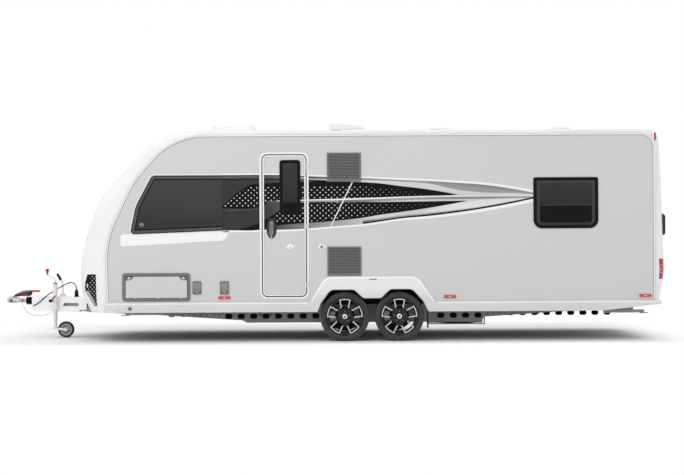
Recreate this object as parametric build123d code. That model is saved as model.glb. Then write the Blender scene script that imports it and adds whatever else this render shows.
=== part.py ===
from build123d import *
import os
from math import cos, radians, sin, tan

# A twin-axle travel caravan in millimetres. Its nose points along -X, its door side is -Y
# and +Z is up. The origin is on the ground below the middle of the length and width.

os.makedirs("parts", exist_ok=True)

# Overall length and the body's flat sides
LENGTH = 7956
WALL_Y = 1195
WALL = 35
CROWN = 2500
WALL_TOP = 2404
FLOOR_Z = 425
FLOOR_THICK = 42
SEAT_GAP = 0.3
MOVE_GAP = 6
NOSE_X = -LENGTH / 2
TAIL_X = LENGTH / 2
WALL_IN = WALL_Y - WALL
FLOOR_TOP = FLOOR_Z + FLOOR_THICK

# Centreline of the front moulding, from below its foot to the roof: x, z, bend radius
ROOF_FRONT = -1500
FRONT_PROFILE = (
    (-2794, 210, 0),
    (-2978, 578, 600),
    (-2978, 1061, 1200),
    (-2686, 1770, 1080),
    (-1900, CROWN, 950),
    (ROOF_FRONT, CROWN, 0),
)
# Its cross-sections where lines and arcs of the centreline meet: radius of the bow, of the corners
ROOF_SECTION = (20400, 50)
NOSE_SECTION = (6000, 300)
BROW_SECTION = (9000, 130)
FRONT_SECTIONS = (NOSE_SECTION,) * 5 + (BROW_SECTION,) * 2 + (ROOF_SECTION,) * 3
FRONT_DEPTH = 440

# Centreline of the rear moulding, from the roof down, and its cross-sections
ROOF_REAR = 3740
REAR_CORNER = 170
REAR_PROFILE = (
    (ROOF_REAR, CROWN, 0),
    (TAIL_X - 59, CROWN, REAR_CORNER),
    (TAIL_X - 29, 1800, 3000),
    (TAIL_X, 800, 600),
    (TAIL_X - 72, 380, 0),
)
TAIL_SECTION = (30000, 90)
REAR_SECTIONS = (ROOF_SECTION,) * 3 + (TAIL_SECTION,) * 5
REAR_DEPTH = 160
REAR_FOOT = 422

# Outline of the flat side wall: x, z, corner radius
WALL_REAR = 3829
WALL_OUTLINE = (
    (-2546, FLOOR_Z, 0),
    (-2575, 1179, 1100),
    (-2249, 1866, 1100),
    (-1785, WALL_TOP, 800),
    (WALL_REAR, WALL_TOP, 157),
    (WALL_REAR, FLOOR_Z, 0),
)
RAIL_WIDTH = 32
RAIL_LAP = 6
RAIL_THICK = 11

# Skirt, its wheel-arch flare and the opening over the wheels
SKIRT_FOOT = 347
SKIRT_TOP = 466
SKIRT_THICK = 30
SKIRT_CHAMFER = 11
SKIRT_FRONT = -2587
SKIRT_REAR = 3905
SKIRT_RISE_X = 3225
ARCH_FLARE = (
    (-205, SKIRT_TOP - 20, 0),
    (-20, 758, 150),
    (1065, 758, 150),
    (1290, SKIRT_TOP - 20, 0),
)
ARCH_OPENING = (
    (-112, 300, 0),
    (-60, 440, 90),
    (50, 598, 90),
    (320, 598, 60),
    (430, 497, 60),
    (640, 497, 60),
    (750, 602, 60),
    (1000, 602, 90),
    (1125, 464, 90),
    (1205, 300, 0),
)

# Wheels: tyre 195 wide on a 15 inch rim
WHEEL_X = (215, 853.5)
WHEEL_Y = 1085
TYRE_R = 288
TYRE_WIDTH = 195
RIM_R = 226
BEAD_R = 218
RIM_WIDTH = 172
HUB_R = 33
BOX_GAP = 34
BOX_WALL = 5
BOX_INNER_Y = 940

# Entrance door: leaf edges, hinge pin
DOOR_X0, DOOR_X1 = -744, -230
DOOR_Z0, DOOR_Z1 = 529, 2183
DOOR_CORNER = 60
DOOR_PROUD = 4
FRAME_FACE = 22
FRAME_LIP = 12
DOOR_PANE = (-534, -302, 1487, 2115, 30)
DOOR_PANE_LAP = 20
HANDLE_X, HANDLE_Z = -635, 1324
CATCH_X = (-420, -52)
CATCH_Z = 1107
CATCH_R = 17
CATCH_PROUD = 18
HINGE_X = -221
HINGE_Y = -1212
HINGE_R = 6.5
HINGE_HEIGHTS = (640, 1330, 2020)
KNUCKLE = 28
KNUCKLE_STEP = 29

# Front locker lid
LOCKER_X0, LOCKER_X1 = -2340, -1628
LOCKER_Z0, LOCKER_Z1 = 521, 767
LOCKER_FRAME = 42
LOCKER_LIP = 15
LOCKER_HINGE_Y, LOCKER_HINGE_Z = -1207, 518
LOCKER_HINGE_R = 4.5
LOCKER_HINGE_X = (-2250, -1984, -1718)

# Window panes stand proud of the walls
PANE = 8
PANE_LAP = 28
SIDE_PANE = (
    (-2029, 1948, 60),
    (-2222, 1590, 500),
    (-2290, 1262, 45),
    (-1210, 1310, 25),
    (-1210, 1946, 25),
)
REAR_PANE = ((2422, 1904, 25), (2422, 1308, 100), (3178, 1308, 100), (3178, 1904, 25))
GALLEY_PANE = ((-760, 1904, 25), (-760, 1308, 60), (120, 1308, 60), (120, 1904, 25))

# Chassis
RAIL_Y = 550
RAIL_FLANGE = 50
RAIL_WALL = 5
RAIL_FRONT = -2100
RAIL_REAR = 3700
RAIL_FOOT = 190
AXLE_LEAD = 160
AXLE_Z = 288
AXLE_HEX = 52
COUPLING_Z = 456
BALL_R = 25.25
HEAD_R = 50
COUPLING_X = NOSE_X + HEAD_R
SHAFT_R = 25
SHAFT_Z = 450
APEX_X = -3460

# Jockey wheel on the near side of the drawbar
JOCKEY_X = -3348
JOCKEY_Y = -172
JOCKEY_WHEEL_R = 100
JOCKEY_TRAIL = 131
JOCKEY_WIDTH = 58
LEG_R = 20
TUBE_R = 25
TUBE_FOOT = 224
TUBE_TOP = 667

# Corner steadies: pivot x, direction of the stowed leg along X
STEADY_Y = 850
STEADY_Z = 322
STEADY_LENGTH = 440
STEADIES = {"front": (-1950, -1), "rear": (3330, 1)}

SIDES = {"left": -1, "right": 1}


def save(name, shape):
    """Write one sub-part to its own file, as its separate solids."""
    solids = shape.solids() if hasattr(shape, "solids") else shape
    export_step(Compound(children=list(solids)), f"parts/{name}.step")


def block(x0, x1, y0, y1, z0, z1):
    """A box between two values on each axis."""
    centre = Pos((x0 + x1) / 2, (y0 + y1) / 2, (z0 + z1) / 2)
    return centre * Box(x1 - x0, y1 - y0, z1 - z0)


def rod(x, y, z, radius, length, axis="Z"):
    """A round bar whose middle is at x, y, z."""
    turn = {"X": Rot(0, 90, 0), "Y": Rot(90, 0, 0), "Z": Rot(0, 0, 0)}[axis]
    return Pos(x, y, z) * turn * Cylinder(radius, length)


def outline(corners):
    """A face with rounded corners from rows of x, z and radius."""
    points = [(x, z) for x, z, r in corners]
    radii = [r for x, z, r in corners]
    return make_face(FilletPolyline(*points, radius=radii, close=True))


def window(x0, x1, z0, z1, radius):
    """A rounded rectangle drawn in x and z."""
    face = Pos((x0 + x1) / 2, (z0 + z1) / 2) * RectangleRounded(x1 - x0, z1 - z0, radius)
    return face


def side_plate(face, y0, y1):
    """Thicken an x-z face between two values of y."""
    plane = Plane(origin=(0, max(y0, y1), 0), x_dir=(1, 0, 0), z_dir=(0, -1, 0))
    return extrude(plane * face, amount=abs(y1 - y0))


def plan_plate(face, z0, z1):
    """Thicken an x-y face between two values of z."""
    return extrude(Pos(0, 0, z0) * face, amount=z1 - z0)


def other_side(shape):
    """The same piece on the far side of the caravan."""
    return mirror(shape, about=Plane.XZ)


def both_sides(shape):
    """A near-side piece with its twin on the far side."""
    return list(shape.solids()) + list(other_side(shape).solids())


def bowed_section(half_width, depth, bow, corner):
    """A cross-section with a bowed face, rounded corners and straight sides."""
    slab = Pos(0, depth / 2) * Rectangle(2 * half_width, depth) & Pos(0, bow) * Circle(bow)
    return fillet(slab.vertices().group_by(Axis.Y)[0], corner)


def hollow_section(depth, bow, corner):
    """The same section as a wall of even thickness, open at its back."""
    outer = bowed_section(WALL_Y, depth, bow, corner)
    inner = bowed_section(WALL_IN, depth, bow - WALL, max(corner - WALL, 10))
    return outer - Pos(0, WALL) * inner


def moulding(profile, sections, depth):
    """The shell of a bowed end of the body: a piece for each line and arc of its centreline."""
    points = [(x, 0, z) for x, z, r in profile]
    path = FilletPolyline(*points, radius=[r for x, z, r in profile[1:-1]])
    lengths = sorted(path.edges(), key=lambda edge: path.param_at_point(edge @ 0.5))
    pieces = []
    for edge, first, last in zip(lengths, sections, sections[1:]):
        start = Plane(origin=edge @ 0, x_dir=(0, -1, 0), z_dir=edge % 0)
        end = Plane(origin=edge @ 1, x_dir=(0, -1, 0), z_dir=edge % 1)
        if edge.geom_type == GeomType.CIRCLE:
            turn = (edge % 0).get_angle(edge % 1)
            axis = Axis(edge.arc_center, (0, 1, 0))
            pieces.append(revolve(start * hollow_section(depth, *first), axis, turn))
        else:
            faces = [start * hollow_section(depth, *first), end * hollow_section(depth, *last)]
            pieces.append(loft(faces, ruled=True))
    return Part() + pieces


def end_window(x0, x1, y0, y1, z0, z1, radius, lap=0):
    """A prism along X through a rounded opening, grown or shrunk by a lap."""
    plane = Plane(origin=(x0, 0, 0), x_dir=(0, 1, 0), z_dir=(1, 0, 0))
    wide, tall = y1 - y0 + 2 * lap, z1 - z0 + 2 * lap
    face = Pos((y0 + y1) / 2, (z0 + z1) / 2) * RectangleRounded(wide, tall, radius + lap)
    return extrude(plane * face, amount=x1 - x0)


def skin(shell, prisms, shift):
    """Thin pieces of a shell's outer surface inside each prism, moved inwards by a shift."""
    pieces = []
    for prism in prisms:
        plug = shell & prism
        pieces += (plug - Pos(*shift) * plug).solids()
    return pieces


def cord(route, radius):
    """A round cord along straight runs joined by arcs as wide as the runs allow."""
    points = [Vector(*p) for p in route]
    radii = []
    for before, here, after in zip(points, points[1:], points[2:]):
        turn = (here - before).get_angle(after - here)
        shorter = min((here - before).length, (after - here).length)
        radii.append(0.45 * shorter / tan(radians(turn / 2)))
    path = FilletPolyline(*route, radius=radii)
    return sweep(Plane(origin=path @ 0, z_dir=path % 0) * Circle(radius), path=path)


wall_face = outline(WALL_OUTLINE)
wall_prism = side_plate(wall_face, -WALL_Y - 60, WALL_Y + 60)

# Front windows: inner and outer edge, foot, head, corner radius
FRONT_WINDOWS = (
    (-370, 370, 1190, 1790, 70),
    (-880, -420, 1190, 1790, 70),
    (420, 880, 1190, 1790, 70),
)
LAMP_OUTLINE = (
    (-2690, 800, 12),
    (-2762, 800, 25),
    (-2838, 660, 60),
    (-2832, 600, 40),
    (-2722, 424, 15),
    (-2684, 424, 12),
)
LAMP_DEPTH = 20
NOTCH_Y = 400

front_shell = moulding(FRONT_PROFILE, FRONT_SECTIONS, FRONT_DEPTH) - wall_prism
front_shell &= block(NOSE_X, 0, -WALL_Y - 10, WALL_Y + 10, SKIRT_FOOT, CROWN + 10)
front_shell -= block(NOSE_X, -2500, -NOTCH_Y, NOTCH_Y, 0, FLOOR_Z)
window_prisms = [end_window(-3100, -2300, *row) for row in FRONT_WINDOWS]
front_panes = skin(front_shell, window_prisms, (1.2 * PANE, 0, 0))
lamp_face = outline(LAMP_OUTLINE)
front_lamps = []
for sign in (-1, 1):
    prism = side_plate(lamp_face, sign * 900, sign * 1250)
    front_lamps += skin(front_shell, [prism], (0, -sign * LAMP_DEPTH, 0))
front_panel = front_shell - Compound(children=front_panes + front_lamps)
front_panel -= [end_window(-3100, -2300, *row, -PANE_LAP) for row in FRONT_WINDOWS]
save("front_panel", front_panel)
save("front_lamps", Compound(children=front_lamps))

# Rear moulding with its window and lamp clusters: foot and head of each lens
REAR_WINDOW = (-540, 540, 1330, 1850, 80)
REAR_LENSES = ((710, 779), (781, 872), (874, 949))
REAR_LAMP_X = 3886
REAR_LAMP_Y = 1000
rear_shell = moulding(REAR_PROFILE, REAR_SECTIONS, REAR_DEPTH) - wall_prism
rear_shell &= block(0, TAIL_X + 10, -WALL_Y - 10, WALL_Y + 10, REAR_FOOT, CROWN + 10)
rear_pane = skin(rear_shell, [end_window(3800, 4050, *REAR_WINDOW)], (-PANE, 0, 0))
rear_lamps = []
for sign in (-1, 1):
    y0, y1 = sorted((sign * REAR_LAMP_Y, sign * (WALL_Y + 20)))
    prisms = [block(REAR_LAMP_X, TAIL_X + 20, y0, y1, z0, z1) for z0, z1 in REAR_LENSES]
    rear_lamps += skin(rear_shell, prisms, (-LAMP_DEPTH, -sign * LAMP_DEPTH, 0))
rear_panel = rear_shell - Compound(children=list(rear_pane) + rear_lamps)
rear_panel -= end_window(3800, 4050, *REAR_WINDOW, -PANE_LAP)
save("rear_panel", rear_panel)
save("rear_lamps", Compound(children=rear_lamps))

# Roof between the two mouldings, bowed, with a lip down to the walls
roof_depth = CROWN - WALL_TOP
roof_bow, roof_corner = ROOF_SECTION
roof_plane = Plane(origin=(ROOF_FRONT, 0, CROWN), x_dir=(0, -1, 0), z_dir=(1, 0, 0))
roof_long = ROOF_REAR - ROOF_FRONT
roof_outer = extrude(
    roof_plane * bowed_section(WALL_Y, roof_depth, roof_bow, roof_corner), amount=roof_long
)
roof = extrude(roof_plane * hollow_section(roof_depth, roof_bow, roof_corner), amount=roof_long)

# Roof lights and vents: centre x, length, width, height, lean-in of the sides
ROOF_LIGHTS = ((-1126, 586, 720, 92, 40), (1396, 296, 400, 56, 25), (2896, 277, 400, 56, 25))
LIGHT_SEAT = 14
roof_lights = []
for x, long, wide, tall, lean in ROOF_LIGHTS:
    base = Plane.XY.offset(CROWN - LIGHT_SEAT) * Pos(x, 0) * RectangleRounded(long, wide, 60)
    head = Plane.XY.offset(CROWN + tall) * Pos(x, 0) * RectangleRounded(
        long - 2 * lean, wide - 2 * lean, 60
    )
    dome = fillet(loft([base, head]).faces().sort_by(Axis.Z)[-1].edges(), lean / 3)
    roof_lights += (dome - roof_outer).solids()
    hole = Pos(x, 0, CROWN) * Box(long - 120, wide - 120, 200)
    roof -= hole
save("roof", roof)
save("roof_lights", Compound(children=roof_lights))

# Television aerial: box, then a wedge that tapers backwards over a cut underside
AERIAL_X0, AERIAL_X1 = 31, 459
AERIAL_TOP = 2618
AERIAL_HALF = 95
aerial_face = make_face(
    Polyline(
        (AERIAL_X0, CROWN - 10),
        (AERIAL_X0, AERIAL_TOP - 30),
        (AERIAL_X0 + 25, AERIAL_TOP),
        (AERIAL_X0 + 150, AERIAL_TOP),
        (AERIAL_X1, AERIAL_TOP - 32),
        (AERIAL_X1, AERIAL_TOP - 52),
        (AERIAL_X0 + 190, AERIAL_TOP - 62),
        (AERIAL_X0 + 170, CROWN - 10),
        close=True,
    )
)
aerial = side_plate(aerial_face, -AERIAL_HALF, AERIAL_HALF) - roof_outer
save("aerial", fillet(aerial.edges().filter_by(Axis.Y).sort_by(Axis.Z)[-4:], 6))

# Floor with cut-outs over the wheels
box_x0 = WHEEL_X[0] - TYRE_R - BOX_GAP
box_x1 = WHEEL_X[1] + TYRE_R + BOX_GAP
box_top = AXLE_Z + TYRE_R + BOX_GAP
floor_face = Pos((WALL_OUTLINE[0][0] + WALL_REAR) / 2, 0) * Rectangle(
    WALL_REAR - WALL_OUTLINE[0][0], 2 * WALL_IN
)
FLOOR_NOSE_X = -2850
nose_plane = Plane(origin=(FLOOR_NOSE_X, 0, FLOOR_Z), x_dir=(0, -1, 0), z_dir=(0, 0, 1))
nose_bow, nose_corner = NOSE_SECTION
nose_face = nose_plane * bowed_section(WALL_IN, 460, nose_bow, nose_corner)
floor = plan_plate(floor_face, FLOOR_Z, FLOOR_TOP) + extrude(nose_face, amount=FLOOR_THICK)
for sign in (-1, 1):
    y0, y1 = sorted((sign * BOX_INNER_Y, sign * WALL_Y))
    floor -= block(box_x0, box_x1, y0, y1, 0, 500)
save("floor", floor)

# Wheel boxes: open below and towards the skirt
box_outline = outline(
    (
        (box_x0, FLOOR_Z, 0),
        (box_x0, box_top, 90),
        (box_x1, box_top, 90),
        (box_x1, FLOOR_Z, 0),
    )
)
box_skin = side_plate(box_outline, -WALL_IN, -BOX_INNER_Y)
box_hollow = side_plate(offset(box_outline, -BOX_WALL), -WALL_IN, -BOX_INNER_Y - BOX_WALL)
foot_z = FLOOR_Z + 2 * BOX_WALL
box_hollow += block(box_x0 + BOX_WALL, box_x1 - BOX_WALL, -WALL_IN, -BOX_INNER_Y - BOX_WALL, 300, foot_z)
save("wheel_boxes", Compound(children=both_sides(box_skin - box_hollow)))

# Side walls and what fills their openings
door_hole = window(
    DOOR_X0 - FRAME_FACE + FRAME_LIP,
    DOOR_X1 + FRAME_FACE - FRAME_LIP,
    DOOR_Z0 - FRAME_FACE + FRAME_LIP,
    DOOR_Z1 + FRAME_FACE - FRAME_LIP,
    DOOR_CORNER + 10,
)
locker_hole = window(
    LOCKER_X0 - LOCKER_FRAME + LOCKER_LIP,
    LOCKER_X1 + LOCKER_FRAME - LOCKER_LIP,
    LOCKER_Z0 - LOCKER_FRAME + LOCKER_LIP,
    LOCKER_Z1 + LOCKER_FRAME - LOCKER_LIP,
    25,
)
wheel_hole = side_plate(box_outline, -WALL_Y - 5, WALL_Y + 5)
left_wall = side_plate(wall_face, -WALL_Y, -WALL_IN) - wheel_hole
for face in (outline(SIDE_PANE), outline(REAR_PANE)):
    left_wall -= side_plate(offset(face, -PANE_LAP), -WALL_Y - 1, -WALL_IN + 1)
right_wall = other_side(left_wall)
right_wall -= side_plate(offset(outline(GALLEY_PANE), -PANE_LAP), WALL_IN - 1, WALL_Y + 1)
left_wall -= side_plate(door_hole, -WALL_Y - 1, -WALL_IN + 1)
left_wall -= side_plate(locker_hole, -WALL_Y - 1, -WALL_IN + 1)
save("left_wall", left_wall)
save("right_wall", right_wall)

panes = []
for sign in (-1, 1):
    for face in (outline(SIDE_PANE), outline(REAR_PANE)):
        panes += side_plate(face, sign * WALL_Y, sign * (WALL_Y + PANE)).solids()
panes += side_plate(outline(GALLEY_PANE), WALL_Y, WALL_Y + PANE).solids()
save("windows", Compound(children=panes + front_panes + rear_pane))

# Awning rails follow the walls' outline, over the joint with the mouldings
rail_ring = offset(wall_face, RAIL_WIDTH) - offset(wall_face, -RAIL_LAP)
rail = side_plate(rail_ring, -WALL_Y, -WALL_Y - RAIL_THICK)
rail &= block(NOSE_X, TAIL_X, -WALL_Y - 50, 0, SKIRT_TOP, CROWN)
rail = chamfer(rail.faces().sort_by(Axis.Y)[0].edges(), 3)
save("awning_rails", Compound(children=both_sides(rail)))

# Skirts with the wheel-arch flare
skirt_face = make_face(
    Polyline(
        (SKIRT_FRONT, SKIRT_FOOT),
        (SKIRT_FRONT, SKIRT_TOP),
        (SKIRT_REAR, SKIRT_TOP),
        (SKIRT_REAR, REAR_FOOT),
        (SKIRT_RISE_X, SKIRT_FOOT),
        close=True,
    )
)
skirt_face = skirt_face + outline(ARCH_FLARE) - outline(ARCH_OPENING)
skirt = side_plate(skirt_face, -WALL_Y, -WALL_Y - SKIRT_THICK)
skirt = chamfer(
    skirt.faces().sort_by(Axis.Y)[0].edges().filter_by_position(Axis.Z, SKIRT_TOP - 5, 900),
    SKIRT_CHAMFER,
)
save("skirts", Compound(children=both_sides(skirt)))

# Mudflaps behind the rear wheels
FLAP_THICK = 8
mudflap = block(box_x1 + 8, box_x1 + 8 + FLAP_THICK, -1190, -990, 150, FLOOR_Z)
save("mudflaps", Compound(children=both_sides(mudflap)))

# Entrance door: frame, leaf, pane and handle
flange = window(
    DOOR_X0 - MOVE_GAP - FRAME_FACE,
    DOOR_X1 + MOVE_GAP + FRAME_FACE,
    DOOR_Z0 - MOVE_GAP - FRAME_FACE,
    DOOR_Z1 + MOVE_GAP + FRAME_FACE,
    DOOR_CORNER + 20,
)
door_gap = window(
    DOOR_X0 - MOVE_GAP,
    DOOR_X1 + MOVE_GAP,
    DOOR_Z0 - MOVE_GAP,
    DOOR_Z1 + MOVE_GAP,
    DOOR_CORNER + MOVE_GAP,
)
door_face = window(DOOR_X0, DOOR_X1, DOOR_Z0, DOOR_Z1, DOOR_CORNER)
face_y = -WALL_Y - DOOR_PROUD
door_frame = side_plate(flange, -WALL_Y, face_y) + side_plate(door_hole, -WALL_Y, -WALL_IN)
door_frame -= side_plate(door_gap, face_y - 1, -WALL_IN + 1)
half = KNUCKLE / 2
for z in HINGE_HEIGHTS:
    door_frame += rod(HINGE_X, HINGE_Y, z, HINGE_R, KNUCKLE) + block(
        HINGE_X, HINGE_X + 14, HINGE_Y, face_y, z - half, z + half
    )
save("door_frame", door_frame)
x0, x1, z0, z1, radius = DOOR_PANE
lap = DOOR_PANE_LAP
door_leaf = side_plate(door_face, face_y, -WALL_IN)
pane_hole = window(x0 + lap, x1 - lap, z0 + lap, z1 - lap, 20)
door_leaf -= side_plate(pane_hole, face_y - 1, -WALL_IN + 1)
for z in HINGE_HEIGHTS:
    middle = z + KNUCKLE_STEP
    door_leaf += rod(HINGE_X, HINGE_Y, middle, HINGE_R, KNUCKLE) + block(
        HINGE_X - 19, HINGE_X, HINGE_Y, face_y, middle - half, middle + half
    )
save("door_leaf", door_leaf)
door_window = side_plate(window(*DOOR_PANE), face_y, face_y - 6)
save("door_window", door_window)
# Oval handle with its lever, and the leaf's part of the catch that holds the door open
handle_plate = side_plate(Pos(HANDLE_X, HANDLE_Z) * Ellipse(60, 119), face_y, face_y - 14)
handle_lever = block(
    HANDLE_X - 20, HANDLE_X + 20, face_y - 26, face_y - 14, HANDLE_Z - 84, HANDLE_Z + 76
)
handle = (handle_plate + fillet(handle_lever.edges().filter_by(Axis.Y), 12)).solids()
catch_y = face_y - CATCH_PROUD / 2
handle += rod(CATCH_X[0], catch_y, CATCH_Z, CATCH_R, CATCH_PROUD, "Y").solids()
save("door_handle", Compound(children=handle))

# Front locker: frame round the opening, and the lid hinged along its foot
locker_flange = window(
    LOCKER_X0 - LOCKER_FRAME,
    LOCKER_X1 + LOCKER_FRAME,
    LOCKER_Z0 - LOCKER_FRAME,
    LOCKER_Z1 + LOCKER_FRAME,
    40,
)
locker_gap = window(
    LOCKER_X0 - MOVE_GAP, LOCKER_X1 + MOVE_GAP, LOCKER_Z0 - MOVE_GAP, LOCKER_Z1 + MOVE_GAP, 18
)
lid_y = -WALL_Y - 9
locker_frame = side_plate(locker_flange, -WALL_Y, lid_y) + side_plate(locker_hole, -WALL_Y, -WALL_IN)
locker_frame -= side_plate(locker_gap, lid_y - 1, -WALL_IN + 1)
lid = side_plate(window(LOCKER_X0, LOCKER_X1, LOCKER_Z0, LOCKER_Z1, 12), lid_y, -WALL_IN)
for x in LOCKER_HINGE_X:
    for shape, middle, way in ((locker_frame, x - 21, -1), (lid, x + 21, 1)):
        room = rod(middle, LOCKER_HINGE_Y, LOCKER_HINGE_Z, LOCKER_HINGE_R + 1, 43, "X")
        if way < 0:
            lid -= room
        else:
            locker_frame -= room
    foot = block(x - 41, x - 1, LOCKER_HINGE_Y - 4, lid_y, LOCKER_HINGE_Z - 14, LOCKER_HINGE_Z)
    locker_frame += foot + rod(x - 21, LOCKER_HINGE_Y, LOCKER_HINGE_Z, LOCKER_HINGE_R, 40, "X")
    head = block(x + 1, x + 41, LOCKER_HINGE_Y - 4, lid_y, LOCKER_HINGE_Z, LOCKER_HINGE_Z + 14)
    lid += head + rod(x + 21, LOCKER_HINGE_Y, LOCKER_HINGE_Z, LOCKER_HINGE_R, 40, "X")
save("locker_frame", locker_frame)
save("locker_lid", lid)

# Fridge vents: frame with sloping louvres, x from, x to, z from, z to
VENTS = ((14, 414, 1866, 2203), (14, 414, 768, 1107))
VENT_PROUD = 12
VENT_LIP = 18
LOUVRES = 11
vents = []
for x0, x1, z0, z1 in VENTS:
    vent = side_plate(window(x0, x1, z0, z1, 8), -WALL_Y, -WALL_Y - VENT_PROUD)
    pitch = (z1 - z0 - 2 * VENT_LIP) / LOUVRES
    for row in range(LOUVRES):
        foot = z0 + VENT_LIP + row * pitch
        slot = make_face(
            Polyline(
                (-WALL_Y - VENT_PROUD - 1, foot + 3), (-WALL_Y - 4, foot + 3),
                (-WALL_Y - 4, foot + pitch * 0.5), (-WALL_Y - VENT_PROUD - 1, foot + pitch * 0.8),
                close=True,
            )
        )
        cut_plane = Plane(origin=(x0 + VENT_LIP, 0, 0), x_dir=(0, 1, 0), z_dir=(1, 0, 0))
        vent -= extrude(cut_plane * slot, amount=x1 - x0 - 2 * VENT_LIP)
    vents += vent.solids()
save("fridge_grilles", Compound(children=vents))

# Small service covers on the near side and the service hatch on the far side
COVERS = ((-1510, 636), (-1189, 634))
covers = []
for x, z in COVERS:
    cover = side_plate(window(x - 52, x + 52, z - 76, z + 76, 12), -WALL_Y, -WALL_Y - 16)
    cover = chamfer(cover.faces().sort_by(Axis.Y)[0].edges(), 5)
    covers += cover.solids()
hatch = side_plate(window(-1500, -1150, 560, 880, 25), WALL_Y, WALL_Y + 9)
covers += hatch.solids()
# The wall's part of the door catch, beside the hinges
catch_y = -WALL_Y - CATCH_PROUD / 2
covers += rod(CATCH_X[1], catch_y, CATCH_Z, CATCH_R, CATCH_PROUD, "Y").solids()
save("service_flaps", Compound(children=covers))

# Amber side markers along the foot of the wall, red marker high at each rear corner
MARKER_X = (-1188, 1443, 3722)
MARKER_Z = 519
HIGH_MARKER_X, HIGH_MARKER_Z = 3832, 2375
markers = []
for x in MARKER_X:
    for sign in (-1, 1):
        lens = Pos(x, sign * (WALL_Y + 7), MARKER_Z) * Box(139, 14, 32)
        markers += fillet(lens.edges().filter_by(Axis.Y), 7).solids()
for sign in (-1, 1):
    place = Pos(HIGH_MARKER_X, sign * (WALL_Y + RAIL_THICK + 6), HIGH_MARKER_Z)
    lens = place * Box(40, 12, 89)
    markers += fillet(lens.edges().filter_by(Axis.Y), 7).solids()
save("marker_lamps", Compound(children=markers))

# Grab handles on the rear corners
GRAB_R = 9
GRAB_Y = 1120
GRAB_FOOT, GRAB_HEAD = 1219, 1473
GRAB_IN, GRAB_OUT = TAIL_X - 48, TAIL_X - 10
grabs = []
for sign in (-1, 1):
    y = sign * GRAB_Y
    route = FilletPolyline(
        (GRAB_IN, y, GRAB_FOOT),
        (GRAB_OUT, y, GRAB_FOOT + 22),
        (GRAB_OUT, y, GRAB_HEAD - 22),
        (GRAB_IN, y, GRAB_HEAD),
        radius=[24, 24],
    )
    bar = sweep(Plane(origin=route @ 0, z_dir=route % 0) * Circle(GRAB_R), path=route)
    grabs += (bar - rear_shell).solids()
save("grab_handles", Compound(children=grabs))

# Chassis rails: channels that taper to both ends, with lightening holes
rail_corners = (
    (RAIL_FRONT, FLOOR_Z),
    (RAIL_FRONT, 292),
    (-1022, 219),
    (-970, RAIL_FOOT),
    (1860, RAIL_FOOT),
    (1900, 249),
    (2817, 308),
    (RAIL_REAR, 325),
    (RAIL_REAR, FLOOR_Z),
)
rail_face = make_face(Polyline(*rail_corners, close=True))
RAIL_HOLES = (-804, -740, -675, -611)
AXLE_HOLE = 64
rail_inside = offset(rail_face, -RAIL_WALL, kind=Kind.INTERSECTION)
long_rail = side_plate(rail_face, -RAIL_Y, -RAIL_Y + RAIL_FLANGE)
long_rail -= side_plate(rail_inside, -RAIL_Y + RAIL_WALL, -RAIL_Y + RAIL_FLANGE)
for x in RAIL_HOLES:
    long_rail -= rod(x, -RAIL_Y, 285, 17, 3 * RAIL_WALL, "Y")
for x in WHEEL_X:
    long_rail -= rod(x - AXLE_LEAD, -RAIL_Y, AXLE_Z, AXLE_HOLE, 4 * RAIL_WALL, "Y")
frame_pieces = both_sides(long_rail)
# Cross members: centre x, width, foot
CROSS_MEMBERS = ((-1500, 50, 345), (2000, 60, 345), (3600, 50, 345))
reach = RAIL_Y - RAIL_WALL
for x, wide, foot in CROSS_MEMBERS:
    bar = block(x - wide / 2, x + wide / 2, -reach, reach, foot, FLOOR_Z - RAIL_WALL)
    frame_pieces += (bar - long_rail - other_side(long_rail)).solids()
# Drawbar members run from the apex out to the rails
ARM_WIDTH = 45
ARM_NEAR, ARM_FAR = -50, -547
ARM_BEND_X = -2900
arm_plan = make_face(
    Polyline(
        (APEX_X, ARM_NEAR),
        (RAIL_FRONT, ARM_FAR),
        (RAIL_FRONT, ARM_FAR + ARM_WIDTH),
        (APEX_X, ARM_NEAR + ARM_WIDTH),
        close=True,
    )
)
arm_side = make_face(
    Polyline(
        (APEX_X, 395),
        (APEX_X, 480),
        (ARM_BEND_X, FLOOR_Z - 2),
        (RAIL_FRONT, FLOOR_Z - 2),
        (RAIL_FRONT, 292),
        (ARM_BEND_X, 312),
        close=True,
    )
)
arm = plan_plate(arm_plan, 200, 600) & side_plate(arm_side, -700, 0)
arm_core = plan_plate(offset(arm_plan, -RAIL_WALL), 200, 600)
arm_core &= side_plate(offset(arm_side, -RAIL_WALL), -700, 0)
frame_pieces += both_sides(arm - arm_core)
# Overrun housing between the members, behind the coupling
HOUSING_X = -3650
housing = block(HOUSING_X, APEX_X, -48, 48, 400, 485)
housing -= rod(HOUSING_X + 50, 0, SHAFT_Z, SHAFT_R + SEAT_GAP, 400, "X")
frame_pieces += fillet(housing.edges().filter_by(Axis.X).group_by(SortBy.LENGTH)[-1], 6).solids()
# Steady brackets under the floor
PIN_R = 7
for x, way in STEADIES.values():
    for sign in (-1, 1):
        cheeks = block(x - 35, x + 35, -38, 38, STEADY_Z - 20, FLOOR_Z)
        cheeks -= block(x - 36, x + 36, -31, 31, 0, FLOOR_Z - 6)
        cheeks += rod(x, 0, STEADY_Z, PIN_R, 76, "Y")
        frame_pieces += (Pos(0, sign * STEADY_Y, 0) * cheeks).solids()
save("chassis_frame", Compound(children=frame_pieces))

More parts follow.
